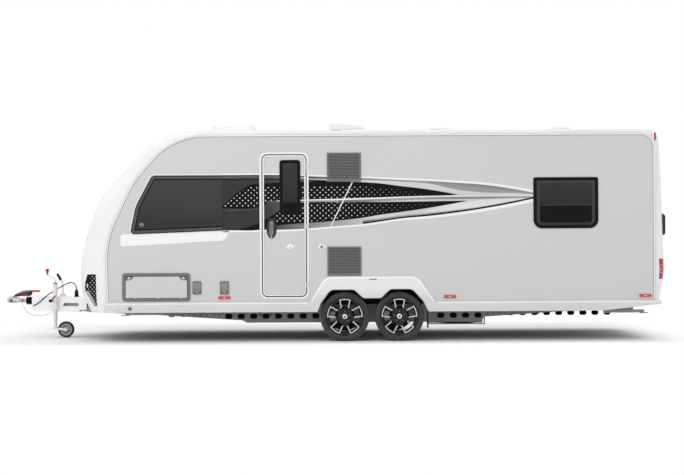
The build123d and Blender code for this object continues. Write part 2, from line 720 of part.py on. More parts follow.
# Axle beams, trailing arms, stub axles and brake back plates
HUB_BORE = 20.3
STUB_R = 20
axle_pieces = []
ARM_Y = 930
ARM_THICK = 44
DRUM_IN = 40
for x in WHEEL_X:
    beam_x = x - AXLE_LEAD
    hexagon = Plane.XZ * Pos(beam_x, AXLE_Z) * RegularPolygon(AXLE_HEX, 6)
    axle = extrude(hexagon, amount=ARM_Y, both=True)
    for sign in (-1, 1):
        arm_face = make_hull(
            (Pos(beam_x, AXLE_Z) * Circle(52)).edges() + (Pos(x, AXLE_Z) * Circle(36)).edges()
        )
        axle += side_plate(arm_face, sign * ARM_Y, sign * (ARM_Y + ARM_THICK))
        stub_in, stub_out = ARM_Y + ARM_THICK - 10, WHEEL_Y + 27
        axle += rod(x, sign * (stub_in + stub_out) / 2, AXLE_Z, STUB_R, stub_out - stub_in, "Y")
        axle += rod(x, sign * (WHEEL_Y - DRUM_IN - MOVE_GAP - 4), AXLE_Z, 118, 8, "Y")
        plate_y = sign * (RAIL_Y + 5)
        axle += Pos(beam_x, plate_y, AXLE_Z) * Box(170, 10, 140)
    axle_pieces += axle.solids()
save("axles", Compound(children=axle_pieces))

# Wheel sections, drawn as radius against width, turned about the Y axis
half_tyre = TYRE_WIDTH / 2
tyre_section = make_face(
    Polyline(
        (BEAD_R, -72), (RIM_R + 0.5, -78), (RIM_R + 1, -86), (250, -half_tyre),
        (272, -half_tyre + 3), (TYRE_R, -76), (TYRE_R, 76), (272, half_tyre - 3),
        (250, half_tyre), (RIM_R + 1, 86), (RIM_R + 0.5, 78), (BEAD_R, 72),
        close=True,
    )
)
tyre = revolve(tyre_section, Axis.Y)
half_rim = RIM_WIDTH / 2
barrel = revolve(
    make_face(
        Polyline(
            (RIM_R, -half_rim), (RIM_R, -half_rim + 7), (BEAD_R - SEAT_GAP, -74),
            (BEAD_R - 6, -50), (190, -30), (190, 20), (BEAD_R - 6, 50),
            (BEAD_R - SEAT_GAP, 74), (RIM_R, half_rim - 7), (RIM_R, half_rim),
            (205, half_rim - 4), (203, 46), (182, 16), (182, -30), (204, -56), (206, -half_rim),
            close=True,
        )
    ),
    Axis.Y,
)
# Wheel face: dished disc, then five rounded windows between the spokes
SPOKES = 5
FACE_Y = -80
face_disc = revolve(
    make_face(
        Polyline(
            (0, FACE_Y + 20), (60, FACE_Y + 16), (110, FACE_Y + 4), (208, FACE_Y),
            (208, FACE_Y + 22), (110, FACE_Y + 34), (60, FACE_Y + 44), (0, FACE_Y + 44),
            close=True,
        )
    ),
    Axis.Y,
)
WINDOW_IN, WINDOW_OUT = 118, 203
WINDOW_HALF = 19
wedge = make_face(
    Polyline(
        (WINDOW_IN * sin(radians(WINDOW_HALF - 3)), WINDOW_IN * cos(radians(WINDOW_HALF - 3))),
        (WINDOW_OUT * sin(radians(WINDOW_HALF)), WINDOW_OUT * cos(radians(WINDOW_HALF))),
        (0, WINDOW_OUT + 14),
        (-WINDOW_OUT * sin(radians(WINDOW_HALF)), WINDOW_OUT * cos(radians(WINDOW_HALF))),
        (-WINDOW_IN * sin(radians(WINDOW_HALF - 3)), WINDOW_IN * cos(radians(WINDOW_HALF - 3))),
        close=True,
    )
)
wedge = fillet(wedge.vertices(), 12) & Circle(WINDOW_OUT)
for spoke in range(SPOKES):
    face_disc -= Rot(0, spoke * 360 / SPOKES, 0) * side_plate(wedge, -120, 0)
drum = rod(0, (DRUM_IN - 28) / 2, 0, 116, DRUM_IN + 28, "Y") + rod(0, -40, 0, 60, 40, "Y")
drum -= rod(0, 30, 0, HUB_BORE, 120, "Y")
rim_body = barrel + face_disc
cap = rod(0, FACE_Y + 17, 0, HUB_R, 14, "Y")
rim_pieces = list((rim_body + cap).solids()) + list((drum - rim_body).solids())
wheel_set = {"tyre": tyre, "rim": Compound(children=rim_pieces)}
for side, sign in SIDES.items():
    for place, x in zip(("front", "rear"), WHEEL_X):
        for piece, shape in wheel_set.items():
            placed = Pos(x, -WHEEL_Y, AXLE_Z) * shape
            save(f"{side}_{place}_{piece}", other_side(placed) if sign > 0 else placed)

# Spare wheel lying under the floor and its carrier
SPARE_X = 1600
SPARE_FOOT = 152
disc = rod(0, 8, 0, 183, 12, "Y") - rod(0, 8, 0, 33, 20, "Y")
spare = Pos(SPARE_X, 0, SPARE_FOOT + half_tyre) * Rot(90, 0, 0) * (tyre + barrel + disc)
save("spare_wheel", spare)
carrier = []
for y in (-170, 170):
    bar = block(SPARE_X - 360, SPARE_X + 340, y - 12, y + 12, SPARE_FOOT - 12, SPARE_FOOT)
    bar += block(SPARE_X - 360, SPARE_X - 348, y - 12, y + 12, SPARE_FOOT - 12, FLOOR_Z)
    bar += block(SPARE_X + 328, SPARE_X + 340, y - 12, y + 12, SPARE_FOOT - 12, FLOOR_Z)
    carrier += bar.solids()
save("spare_carrier", Compound(children=carrier))

# Coupling head over the tow ball, on the overrun shaft
LUG_X, LUG_Z = -3790, 430
head = Pos(COUPLING_X, 0, COUPLING_Z) * Sphere(HEAD_R)
head += rod(COUPLING_X, 0, COUPLING_Z - 14, HEAD_R - 4, 28)
neck = loft(
    [
        Plane(origin=(COUPLING_X, 0, COUPLING_Z), z_dir=(1, 0, 0)) * Circle(44),
        Plane(origin=(COUPLING_X + 110, 0, SHAFT_Z), z_dir=(1, 0, 0)) * Circle(34),
    ]
)
head += neck + rod(-3650, 0, SHAFT_Z, SHAFT_R, 340, "X")
head -= block(NOSE_X - 5, -3700, -80, 80, 300, COUPLING_Z - 28)
head -= rod(COUPLING_X, 0, COUPLING_Z - 30, BALL_R, 60) + Pos(COUPLING_X, 0, COUPLING_Z) * Sphere(BALL_R)
head += block(LUG_X - 6, LUG_X + 6, -42, -16, LUG_Z, LUG_Z + 12)
save("coupling_head", head)

# Bellows over the shaft
GAITER_X0, GAITER_X1 = -3741, -3650 - SEAT_GAP
ridge = (GAITER_X1 - GAITER_X0) / 3
bellows_points = [(GAITER_X0, SHAFT_R + SEAT_GAP)]
for fold in range(3):
    start = GAITER_X0 + fold * ridge
    bellows_points += [(start + 2, 38), (start + ridge * 0.35, 52)]
    bellows_points += [(start + ridge * 0.65, 52), (start + ridge - 2, 38)]
bellows_points += [(GAITER_X1, SHAFT_R + SEAT_GAP)]
bellows = revolve(make_face(Polyline(*bellows_points, close=True)), Axis.X)
save("shaft_gaiter", Pos(0, 0, SHAFT_Z) * bellows)

# Coupling handle above the shaft
handle_face = make_face(
    Polyline(
        (-3915, COUPLING_Z + HEAD_R - 6), (-3815, 552), (-3790, 567), (-3690, 567),
        (-3567, 580), (-3567, 552), (-3672, 540), (-3672, 507),
        (-3760, 507), (-3800, 502), (-3860, 496),
        close=True,
    )
)
handle = side_plate(handle_face, -24, 24) - head
handle -= rod(COUPLING_X, 0, COUPLING_Z, HEAD_R + SEAT_GAP, 60)
handle -= rod(-3740, 0, SHAFT_Z, 35, 300, "X")
save("coupling_handle", handle.solids().sort_by(SortBy.VOLUME)[-1])

# Drawbar cover: a shell that widens with the members, cut for the jockey clamp
COVER_WALL = 5
COVER_X = -3655
PLUG_X = -3102
PLUG_Y = -87
PLUG_FOOT = 497 + SEAT_GAP
cover_half = [(COVER_X, 84), (-3400, 102), (-2760, 333)]
near_edge = [(x, -y) for x, y in cover_half]
cover_plan = make_face(Polyline(*near_edge, *reversed(cover_half), close=True))
COVER_OUTLINE = (
    (COVER_X, 330, 12),
    (COVER_X, 512, 25),
    (-3000, 492, 40),
    (-2860, 430, 40),
    (-2760, 345, 10),
    (-3040, 314, 60),
)
cover_side = outline(COVER_OUTLINE)
# Hand slots in its two sides
SLOT_OUTLINE = ((-3262, 386, 4), (-3240, 426, 8), (-3057, 426, 8), (-3057, 386, 8))
cover_solid = plan_plate(cover_plan, 200, 600) & side_plate(cover_side, -400, 400)
cover_core = plan_plate(offset(cover_plan, -COVER_WALL), 200, 600)
cover_core &= side_plate(offset(cover_side, -COVER_WALL), -400, 400)
cover_core += block(-3630, -2700, -76, 76, 200, 400)
cover_core += block(-3040, -2700, -400, 400, 200, 340)
cover = cover_solid - cover_core
cover -= rod(COVER_X, 0, SHAFT_Z, 57, 40, "X")
cover -= block(-2950, -2700, -400, 400, 300, 428)
cover -= block(JOCKEY_X - 24, JOCKEY_X + 24, JOCKEY_Y, -80, 436, 474)
cover -= side_plate(outline(SLOT_OUTLINE), -400, 400)
cover -= Pos(-SEAT_GAP, 0, 0) * front_shell
cover = cover.solids().sort_by(SortBy.VOLUME)[-1]
cover += rod(PLUG_X, PLUG_Y, 487, 30, 20)
cover += block(COVER_X, COVER_X + 16, -101, -82, 378, 394)
save("drawbar_cover", cover)

# Handbrake lever standing on the drawbar
lever_route = FilletPolyline((-3287, 0, 490), (-3287, 0, 660), (-3350, 0, 772), radius=[60])
lever = sweep(Plane(origin=lever_route @ 0, z_dir=lever_route % 0) * Circle(11), path=lever_route)
lever += block(-3320, -3250, -16, 16, 490, 530)
save("handbrake_lever", lever - cover_solid)

# Jockey: outer tube, its clamp and crank
tube_middle = (TUBE_FOOT + TUBE_TOP) / 2
tube = rod(JOCKEY_X, JOCKEY_Y, tube_middle, TUBE_R, TUBE_TOP - TUBE_FOOT)
tube -= rod(JOCKEY_X, JOCKEY_Y, tube_middle - 20, LEG_R + 0.5, TUBE_TOP - TUBE_FOOT)
CRANK_REACH = 98
crank_route = FilletPolyline(
    (JOCKEY_X, JOCKEY_Y, TUBE_TOP),
    (JOCKEY_X, JOCKEY_Y, 716),
    (JOCKEY_X - CRANK_REACH, JOCKEY_Y, 772),
    (JOCKEY_X - CRANK_REACH, JOCKEY_Y, 849),
    radius=[14, 14],
)
crank = sweep(Plane(origin=crank_route @ 0, z_dir=crank_route % 0) * Circle(7), path=crank_route)
CLAMP_Z = 465
clamp = rod(JOCKEY_X, JOCKEY_Y, CLAMP_Z, TUBE_R + 9, 60)
clamp -= rod(JOCKEY_X, JOCKEY_Y, CLAMP_Z, TUBE_R, 60)
clamp += block(JOCKEY_X - 20, JOCKEY_X + 20, JOCKEY_Y + TUBE_R + 4, -85, 440, 470)
clamp -= Pos(0, -SEAT_GAP, 0) * Compound(children=frame_pieces)
clamp = clamp.solids().sort_by(SortBy.VOLUME)[-1]
save("jockey_tube", Compound(children=[*(tube + crank).solids(), clamp]))

# Jockey leg that slides in the tube, swivelling fork and wheel
LEG_FOOT = 128
LEG_TOP = 570
SWIVEL_R = 10
SWIVEL_LONG = 36
leg = rod(JOCKEY_X, JOCKEY_Y, (LEG_FOOT + LEG_TOP) / 2, LEG_R, LEG_TOP - LEG_FOOT)
leg -= rod(JOCKEY_X, JOCKEY_Y, LEG_FOOT, SWIVEL_R + SEAT_GAP, 2 * SWIVEL_LONG)
save("jockey_leg", leg)
fork_y = JOCKEY_WIDTH / 2 + 6
wheel_x = JOCKEY_X + JOCKEY_TRAIL
crown = block(JOCKEY_X - 26, JOCKEY_X + 26, -fork_y - 6, fork_y + 6, 100, LEG_FOOT - SEAT_GAP)
arm_face = make_hull(
    (Pos(JOCKEY_X, 114) * Circle(12)).edges() + (Pos(wheel_x, JOCKEY_WHEEL_R) * Circle(16)).edges()
)
fork = fillet(crown.edges().filter_by(Axis.Z), 10)
for sign in (-1, 1):
    y0, y1 = sorted((sign * fork_y, sign * (fork_y + 6)))
    fork += side_plate(arm_face, y0, y1)
fork += rod(wheel_x, 0, JOCKEY_WHEEL_R, 8, 2 * fork_y + 12, "Y")
fork += rod(JOCKEY_X, 0, LEG_FOOT + SWIVEL_LONG / 2 - 6, SWIVEL_R, SWIVEL_LONG)
save("jockey_fork", Pos(0, JOCKEY_Y, 0) * fork)
roller = revolve(
    make_face(
        Polyline(
            (8.4, -24), (30, -24), (34, -10), (66, -12),
            (72, -24), (90, -29), (98, -18), (JOCKEY_WHEEL_R, -8),
            (JOCKEY_WHEEL_R, 8), (98, 18), (90, 29), (72, 24),
            (66, 12), (34, 10), (30, 24), (8.4, 24),
            close=True,
        )
    ),
    Axis.Y,
)
save("jockey_wheel", Pos(wheel_x, JOCKEY_Y, JOCKEY_WHEEL_R) * roller)

# Corner steadies, folded up under the floor
for place, (x, way) in STEADIES.items():
    for side, sign in SIDES.items():
        far = x + way * STEADY_LENGTH
        x0, x1 = sorted((x - way * 20, far))
        leg = block(x0, x1, -25, 25, STEADY_Z - 17, STEADY_Z + 17)
        leg -= block(x0 - 1, x1 + 1, -21, 21, STEADY_Z - 13, 400)
        foot = block(far - 45, far + 45, -32, 32, STEADY_Z - 25, STEADY_Z - 17)
        steady = leg + foot - rod(x, 0, STEADY_Z, PIN_R + 0.4, 80, "Y")
        save(f"{side}_{place}_steady", Pos(0, sign * STEADY_Y, 0) * steady)

# Towing cable and plug, breakaway cable: routes of x, y, z
CABLE_R = 6
TOW_ROUTE = (
    (COVER_X + 19, -92, 389),
    (-3618, -93, 398),
    (-3592, -97, 411),
    (-3562, -103, 432),
    (-3528, -108, 461),
    (-3490, -108, 495),
    (-3450, -101, 525),
    (-3405, -93, 553),
    (-3352, -89, 588),
    (-3312, -87, 612),
    (-3272, -86, 634),
    (-3240, -85, 652),
    (-3205, -84, 668),
    (-3172, -84, 675),
    (-3144, -85, 669),
    (-3120, -86, 650),
    (PLUG_X - 3, PLUG_Y, 622),
    (PLUG_X, PLUG_Y, 594),
)
# Breakaway cable from the near drawbar member to its clip below the coupling
BREAKAWAY_R = 2
BREAKAWAY_ROUTE = (
    (-3399, -45, 385.5),
    (-3399, -45, 352),
    (-3404, -42, 318),
    (-3424, -36, 296),
    (-3458, -30, 283),
    (-3500, -27, 271),
    (-3545, -26, 263),
    (-3590, -26, 262),
    (-3636, -27, 267),
    (-3680, -29, 278),
    (-3712, -32, 301),
    (-3738, -33, 332),
    (-3760, -32, 355),
    (-3769, -31, 384),
    (-3788, -30, 408),
)
clip = Pos(LUG_X, -31, LUG_Z - SEAT_GAP - 10) * Box(10, 8, 20)
breakaway = cord(BREAKAWAY_ROUTE, BREAKAWAY_R)
breakaway_pieces = list(breakaway.solids()) + list((clip - breakaway).solids())
save("breakaway_cable", Compound(children=breakaway_pieces))
save("tow_cable", cord(TOW_ROUTE, CABLE_R))
plug = Pos(PLUG_X, PLUG_Y, PLUG_FOOT) * (
    Pos(0, 0, 8.5) * Cylinder(28, 17)
    + Pos(0, 0, 42) * Cylinder(24, 50)
    + Pos(0, 0, 80) * Cone(20, 9, 30)
)
save("tow_plug", plug)
print("parts written:", len(os.listdir("parts")))
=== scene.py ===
"""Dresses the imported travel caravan: finishes for its CAD nodes and the pieces modelled on them.

Places are written in millimetres, as in the part's source, and made metres where a mesh is built.
The nose points along -X, the door side is -Y and +Z is up.
"""

import logging
import math
from dataclasses import dataclass, field
from enum import Enum
from typing import Callable, Sequence

import bmesh
import bpy
from mathutils import Matrix, Vector
from mathutils.bvhtree import BVHTree


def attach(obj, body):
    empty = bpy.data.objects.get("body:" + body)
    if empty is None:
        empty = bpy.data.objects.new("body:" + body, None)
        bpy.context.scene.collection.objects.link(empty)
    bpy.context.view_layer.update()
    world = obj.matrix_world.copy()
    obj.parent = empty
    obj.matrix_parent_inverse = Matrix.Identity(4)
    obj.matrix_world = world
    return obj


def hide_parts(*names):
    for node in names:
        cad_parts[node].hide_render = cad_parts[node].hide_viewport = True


MM = 0.001
Row = Sequence[float]
Colour = tuple[float, float, float, float]

log = logging.getLogger("caravan")
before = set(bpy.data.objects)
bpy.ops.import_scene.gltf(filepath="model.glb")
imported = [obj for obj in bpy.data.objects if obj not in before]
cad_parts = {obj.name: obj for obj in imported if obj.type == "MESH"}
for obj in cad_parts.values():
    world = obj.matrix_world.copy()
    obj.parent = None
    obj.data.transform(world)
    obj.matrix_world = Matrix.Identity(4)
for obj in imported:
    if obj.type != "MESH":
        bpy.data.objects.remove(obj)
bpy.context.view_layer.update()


# ---------------------------------------------------------------- shader kit


def tone(red: float, green: float | None = None, blue: float | None = None) -> Colour:
    """A linear colour from display values.

    Args:
        red: the red value from 0 to 255, or a grey when it stands alone.
        green: the green value.
        blue: the blue value.

    Returns:
        The linear colour with a full alpha.
    """
    shown = (red, red if green is None else green, red if blue is None else blue)
    return tuple(((v / 255 + 0.055) / 1.055) ** 2.4 if v > 10 else v / 255 / 12.92 for v in shown) + (1.0,)


class Value:
    """A shader socket whose arithmetic adds Math nodes to its graph."""

    def __init__(self, graph: "Graph", socket: bpy.types.NodeSocket) -> None:
        """Keep the graph and the socket."""
        self.graph = graph
        self.socket = socket

    def math(self, operation: str, *others: "Value | float") -> "Value":
        """Add one Math node whose first input is this value.

        Args:
            operation: the node's operation.
            others: the inputs that follow.

        Returns:
            The node's result.
        """
        terms = dict(enumerate((self, *others)))
        node = self.graph.node("ShaderNodeMath", {"operation": operation}, terms)
        return Value(self.graph, node.outputs[0])

    def __add__(self, other: "Value | float") -> "Value":
        """The sum."""
        return self.math("ADD", other)

    __radd__ = __add__

    def __mul__(self, other: "Value | float") -> "Value":
        """The product."""
        return self.math("MULTIPLY", other)

    __rmul__ = __mul__

    def __sub__(self, other: "Value | float") -> "Value":
        """The difference."""
        return self.math("SUBTRACT", other)

    def __rsub__(self, other: float) -> "Value":
        """The difference, number first."""
        return self * -1.0 + other

    def __truediv__(self, other: "Value | float") -> "Value":
        """The quotient."""
        return self.math("DIVIDE", other)

    def larger(self, other: "Value | float") -> "Value":
        """The larger of two."""
        return self.math("MAXIMUM", other)

    def root(self) -> "Value":
        """The square root."""
        return self.math("SQRT")

    def wave(self) -> "Value":
        """The sine."""
        return self.math("SINE")

    def size(self) -> "Value":
        """The size without its sign."""
        return self.math("ABSOLUTE")

    def fold(self, period: float) -> "Value":
        """The distance to the nearest multiple of a period."""
        return self.math("PINGPONG", period / 2)

    def rise(self, start: float, end: float) -> "Value":
        """A smooth step.

        Args:
            start: where it is 0.
            end: where it is 1; less than start for a falling step.

        Returns:
            A value from 0 to 1.
        """
        low, high = sorted((start, end))
        node = self.graph.node(
            "ShaderNodeMapRange",
            {"interpolation_type": "SMOOTHSTEP", "clamp": True},
            {"Value": self, "From Min": low, "From Max": high},
        )
        step = Value(self.graph, node.outputs[0])
        return step if start <= end else 1.0 - step


class Graph:
    """The node tree of one material while it is built."""

    def __init__(self, name: str) -> None:
        """Start an empty material with this name."""
        self.material = bpy.data.materials.new(name)
        self.material.use_nodes = True
        self.tree = self.material.node_tree
        self.tree.nodes.clear()
        self.coords = self.node("ShaderNodeTexCoord").outputs["Object"]

    def node(self, kind: str, settings: dict | None = None, inputs: dict | None = None) -> bpy.types.Node:
        """Add a node.

        Args:
            kind: the node's type.
            settings: its properties, set first; stops holds a ramp's places and colours.
            inputs: values or links for its sockets, by name or number.

        Returns:
            The node.
        """
        made = self.tree.nodes.new(kind)
        for key, setting in (settings or {}).items():
            if key == "stops":
                stops = made.color_ramp.elements
                for place, colour in setting[2:]:
                    stops.new(place)
                for stop, (place, colour) in zip(stops, sorted(setting, key=lambda row: row[0])):
                    stop.position, stop.color = place, colour
            else:
                setattr(made, key, setting)
        for key, given in (inputs or {}).items():
            source = getattr(given, "socket", given)
            if isinstance(source, bpy.types.NodeSocket):
                self.tree.links.new(source, made.inputs[key])
            else:
                made.inputs[key].default_value = source
        return made

    def place(self) -> tuple[Value, Value, Value]:
        """The x, y and z of a point in metres."""
        split = self.node("ShaderNodeSeparateXYZ", inputs={"Vector": self.coords})
        return tuple(Value(self, out) for out in split.outputs)

    def noise(self, scale: float, detail: float = 2.0, stretch: Row = (1, 1, 1)) -> Value:
        """Soft noise over the object's own coordinates.

        Args:
            scale: bumps per metre.
            detail: octaves.
            stretch: how much finer it is along each axis.

        Returns:
            A value around 0.5.
        """
        spot = self.node("ShaderNodeMapping", inputs={"Vector": self.coords, "Scale": tuple(stretch)})
        made = self.node(
            "ShaderNodeTexNoise", inputs={"Vector": spot.outputs[0], "Scale": scale, "Detail": detail}
        )
        return Value(self, made.outputs[0])

    def cells(self, scale: float) -> Value:
        """A random value for each cell of a Voronoi pattern of so many cells per metre."""
        made = self.node("ShaderNodeTexVoronoi", inputs={"Vector": self.coords, "Scale": scale})
        grey = self.node("ShaderNodeRGBToBW", inputs={0: made.outputs["Color"]})
        return Value(self, grey.outputs[0])

    def mix(self, share: Value | float, low: object, high: object) -> Value:
        """Blend two colours.

        Args:
            share: 0 gives the low colour and 1 the high one.
            low: a colour or a link to one.
            high: a colour or a link to one.

        Returns:
            The blended colour.
        """
        made = self.node(
            "ShaderNodeMix", {"data_type": "RGBA"}, {0: share, 6: low, 7: high}
        )
        return Value(self, made.outputs[2])

    def bump(self, height: Value, strength: float, deep: float = 0.001) -> bpy.types.NodeSocket:
        """A normal from a height that is so many metres deep."""
        made = self.node(
            "ShaderNodeBump", inputs={"Height": height, "Strength": strength, "Distance": deep}
        )
        return made.outputs[0]

    def surface(self, **inputs: object) -> bpy.types.Material:
        """Finish the material with a Principled shader.

        Args:
            inputs: its sockets, with underscores for the spaces in their names.

        Returns:
            The material.
        """
        named = {key.replace("_", " "): value for key, value in inputs.items()}
        shader = self.node("ShaderNodeBsdfPrincipled", inputs=named)
        self.node("ShaderNodeOutputMaterial", inputs={"Surface": shader.outputs[0]})
        return self.material


# ------------------------------------------------------------------ finishes


@dataclass(frozen=True)
class Finish:
    """A finish: its colour and gloss, and how both vary over the surface.

    Attributes:
        name: the material's name.
        slot: the record's material slot.
        colour: display values of red, green and blue.
        rough: roughness.
        metal: metallic share.
        coat: clear coat.
        mottle: share by which the colour varies.
        spread: patches per metre of that variation.
        grain: bumps per metre of the skin.
        relief: strength of those bumps.
        dust: how far road dust greys it towards the ground.
        mirror: specular level.
    """

    name: str
    slot: str
    colour: tuple[float, float, float]
    rough: float = 0.4
    metal: float = 0.0
    coat: float = 0.0
    mottle: float = 0.05
    spread: float = 1.5
    grain: float = 400.0
    relief: float = 0.04
    dust: float = 0.0
    mirror: float = 0.5

    def tint(self, share: float = 1.0) -> Colour:
        """The linear colour, lightened or darkened by a share."""
        red, green, blue, _ = tone(*self.colour)
        return tuple(min(v * share, 1.0) for v in (red, green, blue)) + (1.0,)

    def shade(self, graph: Graph) -> Value:
        """The colour over the surface."""
        patches = graph.noise(self.spread, 3).rise(0.3, 0.7)
        colour = graph.mix(patches, self.tint(1 - self.mottle), self.tint(1 + self.mottle))
        if self.dust:
            height = graph.place()[2]
            film = height.rise(0.55, 0.05) * graph.noise(9, 4).rise(0.25, 0.75) * self.dust
            colour = graph.mix(film, colour, tone(120, 112, 100))
        return colour

    def skin(self, graph: Graph) -> bpy.types.NodeSocket:
        """The normal of the fine skin."""
        return graph.bump(graph.noise(self.grain, 2), self.relief, 0.0006)

    def gloss(self, graph: Graph) -> Value:
        """The roughness over the surface."""
        return graph.noise(self.spread * 6, 3) * 0.12 + (self.rough - 0.06)

    def build(self) -> bpy.types.Material:
        """The material of this finish."""
        graph = Graph(self.name)
        return graph.surface(
            Base_Color=self.shade(graph),
            Roughness=self.gloss(graph),
            Metallic=self.metal,
            Coat_Weight=self.coat,
            Coat_Roughness=0.08,
            Specular_IOR_Level=self.mirror,
            Normal=self.skin(graph),
        )

    @property
    def material(self) -> bpy.types.Material:
        """The material, built when it is first asked for."""
        return bpy.data.materials.get(self.name) or self.build()


@dataclass(frozen=True)
class Galvanised(Finish):
    """Zinc-coated steel with crystal spangle, duller where it is weathered."""

    crystals: float = 90.0

    def shade(self, graph: Graph) -> Value:
        """Crystals of slightly different greys under a patchy haze."""
        spangle = graph.mix(graph.cells(self.crystals), self.tint(0.72), self.tint(1.2))
        haze = graph.noise(5, 4).rise(0.45, 0.8) * 0.5
        return graph.mix(haze, spangle, self.tint(0.6))

    def gloss(self, graph: Graph) -> Value:
        """Each crystal has its own shine."""
        return graph.cells(self.crystals) * 0.25 + (self.rough - 0.1)


@dataclass(frozen=True)
class Turned(Finish):
    """Machined alloy with the fine rings of the lathe round a wheel's axle."""

    axle: tuple[float, float] = (0.0, 0.0)

    def skin(self, graph: Graph) -> bpy.types.NodeSocket:
        """Rings about a wheel centre."""
        x, _, z = graph.place()
        dx, dz = x - self.axle[0] * MM, z - self.axle[1] * MM
        rings = ((dx * dx + dz * dz).root() * 3900.0).wave()
        return graph.bump(rings, 0.12, 0.0003)


@dataclass(frozen=True)
class Tyre(Finish):
    """Tyre rubber, greyed by dust on the tread and along the sidewall's mouldings."""

    axle: tuple[float, float] = (0.0, 0.0)

    def shade(self, graph: Graph) -> Value:
        """Dust in rings about the axle, broken up by noise."""
        x, _, z = graph.place()
        dx, dz = x - self.axle[0] * MM, z - self.axle[1] * MM
        radius = (dx * dx + dz * dz).root()
        band = radius.rise(0.262, 0.286) * 0.8 + radius.rise(0.240, 0.226) * 0.6
        wear = band * graph.noise(22, 5).rise(0.2, 0.8)
        flecks = graph.noise(160, 3).rise(0.55, 0.8) * 0.35
        return graph.mix(wear + flecks, self.tint(), tone(104, 102, 101))


@dataclass(frozen=True)
class Pane(Finish):
    """Tinted acrylic glazing, dark and glossy, with a painted reflection that makes it a little lighter towards one
    height.
    """

    light: tuple[float, float, float] = (74, 74, 74)
    low: float = 1.31
    high: float = 1.95

    def shade(self, graph: Graph) -> Value:
        """A painted reflection: a soft sweep from the foot to the head, with faint painted reflections of clouds."""
        height = graph.place()[2]
        # painted reflection: lighter towards the head, with patches of reflected cloud
        sweep = height.rise(self.low, self.high) * 0.65
        clouds = graph.noise(1.1, 2, (1, 1, 2.2)).rise(0.4, 0.75) * 0.3
        return graph.mix(sweep + clouds, self.tint(), tone(*self.light))


@dataclass(frozen=True)
class PaintedLitTop(Finish):
    """Paint that is paler above one height: a painted highlight, as where the flare over the wheels catches the light.
    """

    light: tuple[float, float, float] = (230, 229, 230)
    low: float = 0.48
    high: float = 0.66

    def shade(self, graph: Graph) -> Value:
        """The plain paint, made paler towards the head by painted light."""
        return graph.mix(graph.place()[2].rise(self.low, self.high), super().shade(graph), tone(*self.light))


@dataclass(frozen=True)
class Sweep(Finish):
    """Printed film whose colour runs from one tone to another along X, with a painted sheen across it."""

    far: tuple[float, float, float] = (200, 200, 202)
    start: float = -0.8
    end: float = 0.8
    # share of painted sheen
    sheen: float = 0.25

    def shade(self, graph: Graph) -> Value:
        """The printed run along the caravan, with soft streaks of painted highlight."""
        x, _, z = graph.place()
        along = x.rise(self.start, self.end)
        run = graph.mix(along, self.tint(), tone(*self.far))
        # painted sheen: soft highlight streaks that lighten the film towards near-white
        streak = (z * 30 + x * 3).wave() * 0.5 + 0.5
        return graph.mix(streak * along * self.sheen, run, tone(232))


@dataclass(frozen=True)
class Dotted(Finish):
    """Black film printed with staggered rows of pale dots, smaller towards the tail."""

    across: float = 0.067
    down: float = 0.030
    spot: float = 0.0078
    fade_start: float = 0.0
    fade_end: float = 1.1
    dot: tuple[float, float, float] = (205, 205, 205)

    def shade(self, graph: Graph) -> Value:
        """Dots on two interleaved lattices."""
        x, _, z = graph.place()
        radius = self.spot - x.rise(self.fade_start, self.fade_end) * self.spot * 0.55
        dots = None
        for shift in (0.0, 0.5):
            dx = (x + shift * self.across).fold(self.across)
            dz = (z + shift * 2 * self.down).fold(2 * self.down)
            far = (dx * dx + dz * dz).root()
            here = (far - radius).rise(0.0016, -0.0016)
            dots = here if dots is None else dots.larger(here)
        weight = 1.0 - x.rise(self.fade_start, self.fade_end) * 0.35
        return graph.mix(dots * weight, self.tint(), tone(*self.dot))


@dataclass(frozen=True)
class Lens(Finish):
    """Coloured lamp plastic with upright flutes behind a glossy face."""

    flutes: float = 900.0

    def skin(self, graph: Graph) -> bpy.types.NodeSocket:
        """Flutes along Z and a coarser step along the other way."""
        x, y, z = graph.place()
        waves = ((x + y) * self.flutes).wave() + (z * self.flutes * 0.35).wave() * 0.6
        return graph.bump(waves, 0.35, 0.0008)

    def shade(self, graph: Graph) -> Value:
        """Brighter stripes where the reflector shows through."""
        z = graph.place()[2]
        stripes = (z * 420).wave().rise(0.2, 1.0) * 0.35
        return graph.mix(stripes, self.tint(0.85), self.tint(1.6))


WALL = Finish("wall_paint", "wall_skin", (203, 202, 203), 0.34, coat=0.25, mottle=0.012, spread=0.5, relief=0.015)
MOULDING = Finish("white_gelcoat", "moulding", (234, 234, 235), 0.32, coat=0.2, mottle=0.012, spread=0.7, relief=0.012)
COVER = Finish("cover_gelcoat", "moulding", (243, 243, 244), 0.36, coat=0.15, mottle=0.012, spread=3, relief=0.02)
ROOF = Finish("roof_gelcoat", "roof_skin", (232, 232, 232), 0.45, mottle=0.03, grain=220, relief=0.06)
# The skirt's paler top is painted light on the flare; its greying towards the ground is road dust.
SKIRT = PaintedLitTop("skirt_white", "skirt", (214, 213, 215), 0.36, coat=0.15, mottle=0.02, relief=0.02, dust=0.2)
